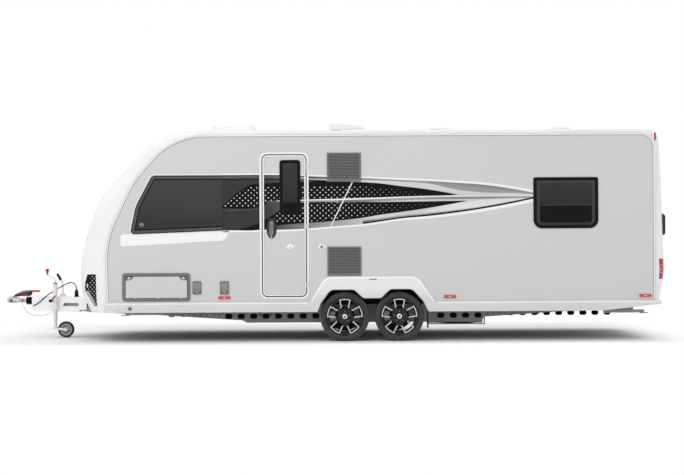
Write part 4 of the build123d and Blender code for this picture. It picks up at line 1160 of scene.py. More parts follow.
@dataclass
class RoadWheel:
    """One road wheel: tyre with tread, ten-spoke alloy rim, hub cap, bolts and drum."""

    side: str
    place: str
    x: float
    z: float = 288
    y: float = -1085
    tyre_steps: int = 72
    spokes: int = 5
    face_y: float = -80
    hub_drop: float = 16

    TREAD = (
        (219, -70), (226.5, -79), (229, -86), (236, -90), (240, -92.5), (242, -95), (246, -95.5), (248, -94.5),
        (256, -96.5), (260, -96.8), (262, -95.5), (268, -94), (275, -91), (281, -86), (285.5, -79), (287.3, -70),
        (287.7, -58), (281, -57), (281, -50), (287.9, -49), (288, -24), (281, -23), (281, -15), (288, -14), (288, 0),
    )

    def tread(self, bm: bmesh.types.BMesh) -> None:
        """Spin the tyre and cut its sipes."""
        half = list(self.TREAD)
        profile = half + [(radius, -far) for radius, far in reversed(half[:-1])]
        lathe(bm, profile, (0, 0, 0), Axis.Y, self.tyre_steps, closed=True)
        bmesh.ops.recalc_face_normals(bm, faces=bm.faces)
        blocks = []
        for face in bm.faces:
            centre = face.calc_center_median()
            radius = math.hypot(centre.x, centre.z)
            step = round(math.degrees(math.atan2(centre.x, centre.z)) / 360 * self.tyre_steps * 2)
            shoulder = 276 < radius and 58 < abs(centre.y) < 90
            rib = 285 < radius and abs(centre.y) < 58
            if (shoulder and step % 4 < 2) or (rib and step % 4 >= 2):
                blocks.append(face)
        bmesh.ops.inset_individual(bm, faces=blocks, thickness=1.6, depth=0, use_even_offset=True)
        bmesh.ops.inset_individual(bm, faces=blocks, thickness=0.6, depth=-3.5, use_even_offset=True)

    def angles(self, radius: float) -> tuple[float, ...]:
        """Angles of the face's columns at a radius, from a pocket's middle to the next gap's middle."""
        half = 42 + (58 - 42) * (radius - 118) / 75
        inner = min(math.asin(min((half - 7) / radius, 1)), math.radians(22))
        outer = min(math.asin(min((half + 7) / radius, 1)), math.radians(31))
        last = math.pi / self.spokes
        return (0, inner / 2, inner, outer, (outer + last) / 2, last)

    def face(self, bm: bmesh.types.BMesh) -> None:
        """Map a grid to a tenth of the face, open its pockets, and repeat it round the axle."""
        rows = (33, 48, 62, 78, 94, 114, 124, 150, 172, 188, 196, 208.5, 212)
        columns = len(self.angles(100)) - 1
        bmesh.ops.create_grid(bm, x_segments=columns, y_segments=len(rows) - 1, size=0.5)
        cells = {}
        for face in bm.faces:
            centre = face.calc_center_median()
            cells[face] = (int((centre.x + 0.5) * columns), int((centre.y + 0.5) * (len(rows) - 1)))
        open_faces = [
            face for face, (column, row) in cells.items()
            if (column < 2 and 94 <= rows[row] < 196) or (column > 2 and 114 <= rows[row] < 188)
        ]
        for face, (column, row) in cells.items():
            spoke = column == 2 and 114 <= rows[row] < 208
            arc = column < 2 and rows[row] == 196
            face.material_index = 1 if spoke or arc else 0
        for vert in bm.verts:
            column = round((vert.co.x + 0.5) * columns)
            radius = rows[round((vert.co.y + 0.5) * (len(rows) - 1))]
            angle = self.angles(radius)[column]
            dish = self.hub_drop * max(0.0, 1 - (radius - 33) / 81) ** 1.4
            vert.co = (radius * math.sin(angle), self.face_y + dish, radius * math.cos(angle))
        bmesh.ops.delete(bm, geom=open_faces, context="FACES")
        bmesh.ops.mirror(bm, geom=bm.verts[:] + bm.edges[:] + bm.faces[:], axis="X", merge_dist=0.01)
        bmesh.ops.spin(
            bm, geom=bm.verts[:] + bm.edges[:] + bm.faces[:], cent=(0, 0, 0), axis=(0, 1, 0), dvec=(0, 0, 0),
            angle=math.tau * (self.spokes - 1) / self.spokes, steps=self.spokes - 1, use_duplicate=True,
        )
        bmesh.ops.remove_doubles(bm, verts=bm.verts, dist=0.05)
        thicken(bm, 20)
        for face in bm.faces:
            face.normal_update()
        soften(bm, lambda edge: self.pocket_corner(edge), 7, 3)
        soften(bm, lambda edge: self.pocket_edge(edge), 1.3, 1)

    def pocket_corner(self, edge: bmesh.types.BMEdge) -> bool:
        """Whether an edge runs along the axle at the corner of a pocket."""
        way = (edge.verts[1].co - edge.verts[0].co).normalized()
        radius = math.hypot(edge.verts[0].co.x, edge.verts[0].co.z)
        return abs(way.y) > 0.95 and 90 < radius < 200

    def pocket_edge(self, edge: bmesh.types.BMEdge) -> bool:
        """Whether an edge is the showing rim of a pocket."""
        fronts = [face for face in edge.link_faces if face.normal.y < -0.7 or face.normal.y > 0.7]
        near = all(vert.co.y < self.face_y + self.hub_drop + 1 for vert in edge.verts)
        radius = math.hypot(*(edge.verts[0].co + edge.verts[1].co).xz) / 2
        return len(fronts) == 1 and near and 90 < radius < 205

    def build(self) -> None:
        """Make the wheel's pieces and put them in place."""
        body = f"{self.side}_{self.place}_wheel"
        way = -1 if self.side == "right" else 1
        centre = Matrix.Translation((self.x, self.y * way, self.z)) @ Matrix.Diagonal((way, way, 1, 1))
        rubber = Tyre(f"{body}_rubber", "tyre", (44, 44, 45), 0.62, relief=0.12, axle=(self.x, self.z))
        bright = Turned(f"{body}_turned", "rim", (196, 197, 199), 0.3, metal=0.55, mottle=0.05, axle=(self.x, self.z))
        tyre = Maker().part(rubber, self.tread)
        bmesh.ops.transform(tyre.bm, matrix=centre, verts=tyre.bm.verts)
        tyre.done(f"{body}_tyre", body, 28, [f"{self.side}_{self.place}_tyre"])

        rim = Maker()
        rim.finishes = [RIM, bright]
        rim.part(RIM, self.face)
        barrel = (
            (226, -86), (226, -79), (217.7, -74), (212, -50), (190, -30), (190, 20), (212, 50), (217.7, 74),
            (226, 79), (226, 86), (206, 84), (203, 46), (182, 16), (182, -30), (204, -56), (209, -79), (212, -83),
            (220, -86.5),
        )
        rim.turned(RIM, barrel, (0, 0, 0), Axis.Y, 64, closed=True)
        # drum painted near black: dark steel and painted shade inside the wheel
        rim.turned(DRUM_IN_SHADE, ((0, -28), (60, -28), (60, -14), (112, -14), (116, -10), (116, 40), (0, 40)), (0, 0, 0), Axis.Y, 48)
        rim.turned(BRIGHT, ((0, -78), (9, -78), (12, -77.4), (26, -75), (31, -71), (33, -66), (33, -44), (0, -44)), (0, 0, 0), Axis.Y, 40)
        rim.turned(MID_GREY, ((0, -79), (14, -79), (16, -78), (16, -76), (0, -76)), (0, 0, 0), Axis.Y, 32)
        for bolt in range(self.spokes):
            angle = math.tau * bolt / self.spokes
            bx, bz = 57 * math.sin(angle), 57 * math.cos(angle)
            rim.turned(SEAL, ((7, -71), (12.5, -71.5), (13.5, -70), (13.5, -60), (7, -60)), (bx, 0, bz), Axis.Y, 18, closed=True)
            rim.rod(GREY, (bx, -60, bz), (bx, -72.5, bz), 8.5, 8, sides=6)
        valve = math.radians(36)
        rim.rod(SEAL, (190 * math.sin(valve), -62, 190 * math.cos(valve)), (184 * math.sin(valve), -86, 184 * math.cos(valve)), 4, 3.5, 10)
        bmesh.ops.transform(rim.bm, matrix=centre, verts=rim.bm.verts)
        rim.done(f"{body}_rim", body, 30, [f"{self.side}_{self.place}_rim"])


# ------------------------------------------------------------ side graphics


class Zone(Enum):
    """The pieces of the side that printed film is cut to: from x, to x, face y, body."""

    WINDOW_SIDE = (-2600, -776, -1195, "body")
    DOOR = (-744, -230, -1199, "door")
    TAIL_SIDE = (-207, 2421, -1195, "body")
    FAR_SIDE = (-2600, 2421, -1195, "body")


@dataclass(frozen=True)
class Band:
    """One shape of printed film: curved edges between corner points.

    Attributes:
        finish: the film.
        layer: how many films lie under it.
        edge: x, z and whether the point is a corner.
    """

    finish: Finish
    layer: int
    edge: tuple[tuple[float, float, bool], ...]

    def flat(self) -> bpy.types.Mesh:
        """The filled outline as a mesh in the plane of its curve."""
        data = bpy.data.curves.new("band", "CURVE")
        data.dimensions = "2D"
        data.fill_mode = "BOTH"
        data.resolution_u = 10
        spline = data.splines.new("BEZIER")
        spline.bezier_points.add(len(self.edge) - 1)
        spline.use_cyclic_u = True
        for point, (x, z, corner) in zip(spline.bezier_points, self.edge):
            point.co = (x, z, 0)
            point.handle_left_type = point.handle_right_type = "VECTOR" if corner else "AUTO"
        carrier = bpy.data.objects.new("band", data)
        bpy.context.scene.collection.objects.link(carrier)
        held = bpy.data.meshes.new_from_object(carrier.evaluated_get(bpy.context.evaluated_depsgraph_get()))
        bpy.data.objects.remove(carrier)
        bpy.data.curves.remove(data)
        return held

    def lay(self, maker: Maker, zone: Zone) -> None:
        """Cut the film to a zone of the side and add it as a thin plate."""
        low, high, face_y, _ = zone.value
        held = self.flat()

        def build(bm: bmesh.types.BMesh) -> None:
            """Stand the film up, trim it and thicken it."""
            bm.from_mesh(held)
            bmesh.ops.rotate(bm, verts=bm.verts, cent=(0, 0, 0), matrix=Matrix.Rotation(math.radians(90), 3, "X"))
            for limit, way in ((low, -1), (high, 1)):
                bmesh.ops.bisect_plane(
                    bm, geom=bm.verts[:] + bm.edges[:] + bm.faces[:], plane_co=(limit, 0, 0),
                    plane_no=(way, 0, 0), clear_outer=True,
                )
            top = face_y - 0.5 - 0.4 * self.layer
            bmesh.ops.translate(bm, verts=bm.verts, vec=(0, top, 0))
            if bm.faces:
                thicken(bm, 0.5)

        maker.part(self.finish, build)
        bpy.data.meshes.remove(held)


def smooth_edge(top: Sequence[Row], foot: Sequence[Row]) -> tuple[tuple[float, float, bool], ...]:
    """A closed outline from an upper line and a lower line, both from the nose to the tail.

    Args:
        top: x and z along the upper line.
        foot: x and z along the lower line.

    Returns:
        Outline rows with corners at the ends of the lines.
    """
    rows = [(x, z, i in (0, len(top) - 1)) for i, (x, z) in enumerate(top)]
    return tuple(rows + [(x, z, i in (0, len(foot) - 1)) for i, (x, z) in reversed(list(enumerate(foot)))])


@dataclass
class SideGraphics:
    """The printed sweep that runs on from the front window to the rear one."""

    outer_top: tuple = (
        (-1212, 1948), (-760, 1948), (-380, 1941), (-196, 1931), (3, 1923), (464, 1906), (629, 1898), (862, 1885),
        (1200, 1869), (1537, 1847), (1875, 1819), (2213, 1768), (2421, 1728),
    )
    outer_foot: tuple = (
        (-1212, 1302), (-760, 1306), (-380, 1312), (-196, 1322), (61, 1342), (430, 1369), (629, 1396), (862, 1430),
        (1200, 1459), (1537, 1499), (1875, 1549), (2213, 1611), (2421, 1655),
    )
    spine: tuple = (
        (-690, 1634), (-560, 1641), (-196, 1651), (145, 1658), (430, 1665), (629, 1671), (862, 1679), (1102, 1686),
        (1574, 1690), (2421, 1693),
    )

    def strip(
        self, line: Sequence[Row], start: float, end: float, low: float, high: float, tail: float = 0.3
    ) -> tuple:
        """A strip along a line, whose width changes towards the tail.

        Args:
            line: x and z along it.
            start: the x it begins at.
            end: the x it stops at.
            low: its lower edge, measured up from the line.
            high: its upper edge, measured up from the line.
            tail: the share of both that is left at the tail.

        Returns:
            Its outline.
        """
        kept = [(x, z, 1 + (tail - 1) * min(max((x - 430) / 1990, 0), 1)) for x, z in line if start <= x <= end]
        return smooth_edge([(x, z + high * k) for x, z, k in kept], [(x, z + low * k) for x, z, k in kept])

    def bands(self) -> tuple[Band, ...]:
        """Every film, from the lowest to the highest."""
        top, foot, spine = self.outer_top, self.outer_foot, self.spine
        upper = smooth_edge(
            (
                (-1212, 1578), (-1130, 1662), (-1010, 1758), (-900, 1826), (-700, 1850), (-196, 1872), (145, 1868),
                (430, 1857), (629, 1843), (862, 1812), (1102, 1783), (1350, 1744), (1538, 1708),
            ),
            (
                (-1212, 1564), (-760, 1578), (-640, 1636), (-196, 1655), (145, 1663), (430, 1670), (629, 1677),
                (862, 1685), (1102, 1693), (1350, 1698), (1538, 1704),
            ),
        )
        dots_top = smooth_edge(
            (
                (-1195, 1580), (-1100, 1662), (-1000, 1742), (-905, 1802), (-700, 1812), (145, 1812), (430, 1806),
                (629, 1792), (862, 1768), (1150, 1726),
            ),
            (
                (-1195, 1572), (-1000, 1574), (-760, 1584), (-640, 1636), (-196, 1662), (145, 1670), (430, 1677),
                (629, 1684), (862, 1692), (1150, 1702),
            ),
        )
        lower = smooth_edge(
            (
                (-1050, 1308), (-900, 1344), (-776, 1392), (-640, 1468), (-520, 1548), (-420, 1598), (-196, 1624),
                (145, 1628), (629, 1626), (1102, 1630), (1643, 1636),
            ),
            (
                (-1050, 1303), (-776, 1309), (-640, 1345), (-380, 1375), (-196, 1386), (145, 1412), (430, 1443),
                (629, 1476), (862, 1506), (1102, 1539), (1338, 1577), (1643, 1632),
            ),
        )
        dots_foot = smooth_edge(
            ((-600, 1450), (-520, 1530), (-420, 1580), (-196, 1610), (629, 1614), (1102, 1618), (1320, 1622)),
            ((-600, 1400), (-380, 1390), (-196, 1402), (145, 1430), (430, 1462), (862, 1528), (1320, 1604)),
        )
        slash = ((302, 1858, True), (316, 1858, True), (64, 1350, True), (52, 1350, True))
        streak = smooth_edge(
            ((-1212, 1544), (-1080, 1552), (-980, 1548), (-770, 1560), (-560, 1584)),
            ((-1212, 1540), (-1100, 1524), (-980, 1530), (-770, 1546), (-560, 1578)),
        )
        shade = smooth_edge(
            ((862, 1878), (1200, 1866), (1537, 1844), (1875, 1816), (2213, 1765), (2421, 1726)),
            ((862, 1862), (1200, 1838), (1537, 1764), (1875, 1730), (2213, 1722), (2421, 1708)),
        )
        gleam = smooth_edge(
            ((1102, 1506), (1338, 1562), (1643, 1622), (1875, 1648), (2213, 1664), (2421, 1674)),
            ((1102, 1504), (1338, 1519), (1643, 1548), (1875, 1580), (2213, 1635), (2421, 1670)),
        )
        return (
            Band(FILM_WHITE, 0, self.strip(top, -1212, 2421, -4, 16, 1.8)),
            Band(FILM_WHITE, 0, self.strip(foot, -1212, 2421, -21, 4, 1.8)),
            Band(FILM_DARK, 1, smooth_edge(top, foot)),
            Band(FILM_BLACK, 2, self.strip(top, -1212, -196, -10, 0)),
            Band(FILM_SILVER, 2, self.strip(top, -1212, 862, -40, -10)),
            Band(FILM_BLACK, 2, self.strip(top, -1212, 3, -54, -40)),
            Band(FILM_GREY, 4, self.strip(top, -196, 1200, -26, -3)),
            Band(FILM_SHADE, 3, shade),
            Band(FILM_SILVER, 3, gleam),
            Band(FILM_BLACK, 2, upper),
            Band(FILM_BLACK, 2, lower),
            Band(FILM_DOTS, 3, dots_top),
            Band(FILM_DOTS, 3, dots_foot),
            Band(FILM_GREY, 4, self.strip(spine, 145, 2421, -38, -12, 0.8)),
            Band(FILM_SILVER, 5, self.strip(spine, -690, 2421, -10, 9)),
            Band(FILM_WHITE, 6, self.strip(spine, -560, 2421, -2, 7)),
            Band(FILM_GREY, 3, self.strip(foot, 145, 2421, 10, 40, 0.5)),
            Band(FILM_BLACK, 4, self.strip(foot, 430, 2421, 2, 19, 1.1)),
            Band(FILM_GREY, 4, streak),
            Band(FILM_WHITE, 7, slash),
        )

    def build(self) -> None:
        """Lay every film on the wall, the door and the far wall."""
        for zone in Zone:
            maker = Maker()
            for band in self.bands():
                band.lay(maker, zone)
            if zone is Zone.FAR_SIDE:
                bmesh.ops.scale(maker.bm, vec=(1, -1, 1), verts=maker.bm.verts)
                bmesh.ops.reverse_faces(maker.bm, faces=maker.bm.faces)
            maker.done(f"side_film_{zone.name.lower()}", zone.value[3])


# ------------------------------------------------------------------- windows


@dataclass
class SideWindows:
    """Printed edges, catches, blinds and white borders of the side windows."""

    front: tuple = ((-2029, 1948, 60), (-2222, 1590, 500), (-2290, 1262, 45), (-1210, 1310, 25), (-1210, 1946, 25))
    rear: tuple = ((2422, 1904, 25), (2422, 1308, 100), (3178, 1308, 100), (3178, 1904, 25))
    galley: tuple = ((-760, 1904, 25), (-760, 1308, 60), (120, 1308, 60), (120, 1904, 25))
    face: float = -1203

    def near(self) -> Maker:
        """What both sides have."""
        maker = Maker()
        y = self.face
        tail = ((self.front[3][0] - 1, 0, 0), (1, 0, 0))
        maker.ring(FILM_WHITE, self.front, 15, -1195.9, -1195, inset=-14, cut=tail)
        open_tail = [(x + 200 if x > -1300 else x, z, r) for x, z, r in self.front]
        maker.ring(EDGE_GLASS, open_tail, 10, y - 0.8, y, cut=tail)
        maker.ring(BAND_GLASS, open_tail, 30, y - 0.5, y, inset=10, cut=tail)
        maker.ring(EDGE_GLASS, open_tail, 13, y - 1.2, y, inset=40, cut=tail)
        maker.ring(EDGE_GLASS, self.rear, 38, y - 0.8, y)
        maker.ring(BAND_GLASS, self.rear, 5, y - 2.2, y, inset=58)
        inner = ((2490, 1850, 45), (2490, 1590, 8), (3110, 1590, 8), (3110, 1850, 45))
        maker.plate(BLIND, inner, y - 1.4, y, 0.6)
        lower = ((2496, 1572, 10), (2496, 1362, 55), (3104, 1362, 55), (3104, 1572, 10))
        maker.plate(EDGE_GLASS, lower, y - 1.0, y, 0.5)
        maker.block(BLACK, (2500, y - 3, 1574), (3100, y, 1588), 1.2)
        self.stud(maker, -2150, 1372)
        return maker

    def stud(self, maker: Maker, x: float, z: float) -> None:
        """A round window catch."""
        y = self.face
        maker.turned(BLACK, ((0, -1), (17, -1), (22, 0), (25, 3), (26, 6), (0, 6)), (x, y - 6, z), Axis.Y, 28)
        maker.turned(BRIGHT, ((20, -1.4), (23, -1.4), (24, 1), (20, 1)), (x, y - 6, z), Axis.Y, 28, closed=True)
        # small bright bead up and to the left of the catch's centre: a painted glint
        maker.ball(BRIGHT, (x - 4, y - 7, z + 4), 7, (1, 0.35, 1))

    def build(self) -> None:
        """Make the trims of both sides and the galley window's own."""
        self.near().mirrored().done("side_window_trim")
        galley = Maker()
        y = self.face
        galley.ring(EDGE_GLASS, self.galley, 34, y - 0.8, y)
        galley.ring(BAND_GLASS, self.galley, 5, y - 2.2, y, inset=52)
        self.stud(galley, -640, 1350)
        self.stud(galley, 0, 1350)
        bmesh.ops.scale(galley.bm, vec=(1, -1, 1), verts=galley.bm.verts)
        bmesh.ops.reverse_faces(galley.bm, faces=galley.bm.faces)
        galley.done("galley_window_trim")
        self.flag()

    def flag(self) -> None:
        """The plain white panel under the front window."""
        corners = ((-2400, 1262, 30), (-2402, 1122, 24), (-1190, 1186, 60), (-1118, 1300, 20), (-1700, 1278, 0))
        maker = Maker().plate(FILM_WHITE, corners, -1195.5, -1195)
        maker.mirrored().done("plain_flag_film")


# -------------------------------------------------------------- entrance door


@dataclass
class Entrance:
    """Gaskets, white lines, window print, handle and catch of the entrance door."""

    x0: float = -744
    x1: float = -230
    z0: float = 529
    z1: float = 2183
    corner: float = 60
    gap: float = 6
    face: float = -1199

    def outline(self, grow: float) -> tuple[tuple[float, float, float], ...]:
        """The leaf's outline grown by so much."""
        radius = self.corner + grow
        return (
            (self.x0 - grow, self.z0 - grow, radius), (self.x1 + grow, self.z0 - grow, radius),
            (self.x1 + grow, self.z1 + grow, radius), (self.x0 - grow, self.z1 + grow, radius),
        )

    def build(self) -> None:
        """Make the frame's seal and everything on the leaf."""
        seal = Maker().ring(SEAL, self.outline(self.gap), self.gap - 1, self.face - 1, self.face + 20)
        seal.done("door_frame_seal")
        lift = self.face
        trim = Maker()
        trim.ring(SEAL, self.outline(0), 6, lift - 0.8, lift)
        trim.ring(FILM_WHITE, self.outline(0), 15, lift - 3, lift, inset=6)
        trim.ring(MID_GREY, self.outline(0), 3, lift - 1, lift, inset=21)
        trim.done("door_leaf_trim", "door")
        self.window()
        self.handle()

    def window(self) -> None:
        """The door window's printed edge, blind and cassette."""
        y = self.face - 6
        pane = ((-534, 1487, 30), (-302, 1487, 30), (-302, 2115, 30), (-534, 2115, 30))
        maker = Maker()
        maker.ring(EDGE_GLASS, pane, 32, y - 0.8, y)
        maker.plate(BLIND, ((-500, 1632, 4), (-336, 1632, 4), (-336, 2082, 10), (-500, 2082, 10)), y - 1.2, y, 0.5)
        maker.plate(EDGE_GLASS, ((-500, 1520, 12), (-336, 1520, 12), (-336, 1628, 18), (-500, 1628, 18)), y - 1.6, y, 0.6)
        maker.ring(SEAL, pane, 6, y, y + 6, inset=-6)
        maker.done("door_window_print", "door")

    def handle(self) -> None:
        """The handle: oval bezel, finger cup and a grey lever with its lock, and the catch."""
        maker = Maker()
        y = self.face

        def oval(bm: bmesh.types.BMesh) -> None:
            """Turn a rounded dish and stretch it upright."""
            profile = ((0, -7), (30, -8), (42, -12), (52, -13), (58, -9), (60, 0), (0, 0))
            lathe(bm, profile, (0, 0, 0), Axis.Y, 40, closed=False)
            bmesh.ops.scale(bm, vec=(1, 1, 1.98), verts=bm.verts)
            bmesh.ops.translate(bm, verts=bm.verts, vec=(-635, y, 1324))

        maker.part(BLACK, oval)
        maker.plate(
            MID_GREY, ((-661, 1238, 20), (-611, 1238, 20), (-613, 1408, 22), (-657, 1408, 22)), y - 24, y - 8, 5
        )
        maker.plate(
            GREY, ((-652, 1262, 10), (-620, 1262, 10), (-622, 1384, 12), (-650, 1384, 12)), y - 26, y - 22, 1.5
        )
        maker.rod(BRIGHT, (-636, y - 24, 1224), (-636, y - 15, 1224), 9, sides=20)
        maker.rod(BLACK, (-636, y - 24.6, 1224), (-636, y - 20, 1224), 2.5, sides=8)
        self.catch(maker, -420, y)
        maker.done("door_handle_set", "door", stands_for=["door_handle"])
        wall_catch = Maker()
        self.catch(wall_catch, -52, y + 4)
        wall_catch.done("wall_catch")

    def catch(self, maker: Maker, x: float, y: float) -> None:
        """A white dome with a dark socket on an oval foot."""
        dome = ((7, -17), (11, -18), (18, -14), (24, -7), (29, -3), (31, 0), (7, 0))
        maker.turned(WHITE_AND_HIGHLIGHT, dome, (x, y, 1107), Axis.Y, 28, True)
        maker.turned(BLACK, ((0, -12), (7.4, -16.5), (7.4, -8), (0, -8)), (x, y, 1107), Axis.Y, 16)
        maker.plate(WHITE_AND_HIGHLIGHT, ((x - 44, 1096, 11), (x + 44, 1096, 11), (x + 44, 1118, 11), (x - 44, 1118, 11)), y - 3, y, 1)


# --------------------------------------------------------- lockers and covers


@dataclass
class Locker:
    """The front locker's frame trim and the locks on its lid."""

    x0: float = -2340
    x1: float = -1628
    z0: float = 521
    z1: float = 767
    face: float = -1204

    def outline(self, grow: float, radius: float) -> tuple[tuple[float, float, float], ...]:
        """The lid's outline grown by so much."""
        return (
            (self.x0 - grow, self.z0 - grow, radius), (self.x1 + grow, self.z0 - grow, radius),
            (self.x1 + grow, self.z1 + grow, radius), (self.x0 - grow, self.z1 + grow, radius),
        )

    def build(self) -> None:
        """Make the frame's raised lip and the lid's lock corners."""
        y = self.face
        frame_trim = Maker()
        frame_trim.ring(MID_GREY, self.outline(40, 38), 5, y - 2.5, y, inset=3)
        frame_trim.ring(SEAL, self.outline(7, 18), 3, y - 1, y, cut=((0, 0, 545), (0, 0, -1)))
        frame_trim.done("locker_frame_trim")
        lid = Maker()
        # thin white ring of painted highlight along the lid's bevelled edge
        lid.ring(WHITE, self.outline(0, 12), 4, y - 1.5, y)
        for x, way in ((self.x0, 1), (self.x1, -1)):
            corner = (
                (x, self.z1, 8), (x + way * 88, self.z1, 0), (x + way * 76, self.z1 - 26, 14),
                (x + way * 40, self.z1 - 40, 16), (x, self.z1 - 44, 6),
            )
            lid.plate(GREY, corner if way < 0 else tuple(reversed(corner)), y - 5, y, 1.5)
            lid.turned(BRIGHT, ((0, -3), (9, -3), (12, -1), (12, 3), (0, 3)), (x + way * 40, y - 5, self.z1 - 18), Axis.Y, 24)
            lid.turned(BLACK, ((0, -0.6), (3, -0.6), (3, 2), (0, 2)), (x + way * 40, y - 8, self.z1 - 18), Axis.Y, 12)
        lid.done("locker_lid_trim", "locker")


@dataclass
class ServiceCovers:
    """The two flap covers, hatch trim and finer slats of the grilles."""

    covers: tuple = ((-1510, 636), (-1189, 634))
    grilles: tuple = ((14, 411, 1866, 2203), (14, 411, 768, 1107))

    def build(self) -> None:
        """Make the covers' mouldings and the grilles' frames."""
        maker = Maker()
        y = -1211
        for x, z in self.covers:
            maker.plate(MID_GREY, self.box(x, z + 12, 44, 50, 8), y - 4, y, 2)
            maker.plate(GREY, self.box(x, z - 52, 40, 14, 6), y - 6, y, 2)
            maker.plate(MID_GREY, self.box(x, z - 44, 18, 4, 3), y - 9, y - 5, 1)
            maker.block(GREY, (x - 46, y - 5, z + 63), (x + 46, y, z + 72), 2)
            maker.turned(BRIGHT, ((0, -1), (6, -1), (8, 1), (0, 1)), (x, y - 6, z - 53), Axis.Y, 16)
        maker.done("service_cover_detail")
        self.slats()

    def box(self, x: float, z: float, half: float, tall: float, radius: float) -> tuple:
        """A rounded rectangle about a centre."""
        return (
            (x - half, z - tall, radius), (x + half, z - tall, radius),
            (x + half, z + tall, radius), (x - half, z + tall, radius),
        )

    def slats(self) -> None:
        """Grilles with fine slats and turn-button corners, with a black plate behind the slats as painted shade."""
        maker = Maker()
        for x0, x1, z0, z1 in self.grilles:
            outer = ((x0, z0, 8), (x1, z0, 8), (x1, z1, 8), (x0, z1, 8))
            maker.ring(GREY, outer, 20, -1207, -1195)
            # black plate behind the slats: painted shade inside the vent
            maker.plate(BLACK, ((x0 + 18, z0 + 18, 0), (x1 - 18, z0 + 18, 0), (x1 - 18, z1 - 18, 0), (x0 + 18, z1 - 18, 0)), -1197, -1195)
            count = 17
            pitch = (z1 - z0 - 40) / count
            for row in range(count):
                foot = z0 + 20 + row * pitch

                def slat(bm: bmesh.types.BMesh, foot: float = foot) -> None:
                    """One slat with a sloping top and a drip edge."""
                    low, high = (x0 + 19, -1205.5, foot + 0.5), (x1 - 19, -1196.5, foot + pitch - 4.5)
                    size = [b - a for a, b in zip(low, high)]
                    middle = [(a + b) / 2 for a, b in zip(low, high)]
                    bmesh.ops.create_cube(bm, size=1, matrix=Matrix.Translation(middle) @ Matrix.Diagonal((*size, 1)))
                    for vert in bm.verts:
                        if vert.co.z > middle[2] and vert.co.y < middle[1]:
                            vert.co.z -= 4.5
                            vert.co.y += 1.5

                maker.part(GREY, slat)
            for x in (x0 + 10, x1 - 10):
                for z in (z0 + 10, z1 - 10):
                    maker.turned(MID_GREY, ((0, -1.6), (4, -1.6), (5.5, 0), (0, 0)), (x, -1207, z), Axis.Y, 12)
        maker.done("fridge_vent_slats", stands_for=["fridge_grilles"])


# ------------------------------------------------------- lamps, skirt, ends


@dataclass
class SideDetails:
    """Marker lamp bezels, painted highlight and shade lines on the skirt, and the small fittings along the sides."""

    markers: tuple = (-1188, 1443, 3722)
    flare: tuple = ((-205, 446, 0), (-20, 758, 150), (1065, 758, 150), (1290, 446, 0))
    opening: tuple = (
        (-112, 300, 0), (-60, 440, 90), (50, 598, 90), (320, 598, 60), (430, 497, 60), (640, 497, 60),
        (750, 602, 60), (1000, 602, 90), (1125, 464, 90), (1205, 300, 0),
    )
    wall: tuple = (
        (-2546, 425, 0), (-2575, 1179, 1100), (-2249, 1866, 1100), (-1785, 2404, 800), (3829, 2404, 157),
        (3829, 425, 0),
    )

    def rails(self) -> None:
        """Painted shade lines along the grooves of the awning rails."""
        maker = Maker()
        over = ((0, 0, 467), (0, 0, -1))
        maker.ring(GROOVE, self.wall, 4, -1196, -1195, inset=6, cut=over)
        maker.ring(GROOVE, self.wall, 3, -1206.5, -1205, inset=-14, cut=over)
        # mid-grey line of painted shade outside the rail
        maker.ring(CREASE_SHADE, self.wall, 2.5, -1206.5, -1205, inset=-29, cut=over)
        maker.mirrored().done("awning_rail_grooves")

    def build(self) -> None:
        """Make both sides' fittings."""
        self.rails()
        maker = Maker()
        for x in self.markers:
            outline = ((x - 66, 507, 6), (x + 66, 507, 6), (x + 66, 531, 6), (x - 66, 531, 6))
            maker.ring(RED_LENS, outline, 4, -1210.5, -1208)
            maker.plate(CLEAR, ((x - 16, 512, 3), (x + 16, 512, 3), (x + 16, 526, 3), (x - 16, 526, 3)), -1210.2, -1208, 0.8)
        maker.block(WHITE, (3811.5, -1218.8, 2330), (3829, -1206, 2420), 2)
        maker.block(RED_LENS, (3829, -1219, 2331), (3852.5, -1206, 2419.5), 2)
        maker.mirrored().done("marker_lamp_detail")
        skirt = Maker()
        # near-white beads of painted highlight along the skirt's top edge, and grey lines of painted shade under its
        # lip
        for x0, x1 in ((-2586, -213), (1297, 3896)):
            skirt.block(WHITE_AND_HIGHLIGHT, (x0, -1227, 443), (x1, -1224, 453), 1.2)
            skirt.block(CREASE_SHADE, (x0, -1225.6, 386), (x1 - (0 if x1 < 0 else 620), -1224, 389), 0.5)
        over = ((0, 0, 470), (0, 0, -1))
        # painted highlight along the flare over the wheel arches
        skirt.ring(WHITE_AND_HIGHLIGHT, self.flare, 14, -1227, -1224, inset=10, cut=over)
        skirt.ring(SEAL, self.opening, 5, -1226, -1222, inset=-6, cut=((0, 0, 348), (0, 0, -1)))
        skirt.turned(BLACK, ((0, -2), (20, -2), (25, 0), (25, 4), (0, 4)), (-2290, -1225, 394), Axis.Y, 28)
        skirt.turned(BRIGHT, ((14, -3.5), (19, -3.5), (20, -1), (14, -1)), (-2290, -1225, 394), Axis.Y, 28, True)
        skirt.plate(MID_GREY, ((494, 718, 4), (596, 718, 4), (584, 734, 5), (506, 734, 5)), -1227, -1223, 1.2)
        skirt.mirrored().done("skirt_detail")


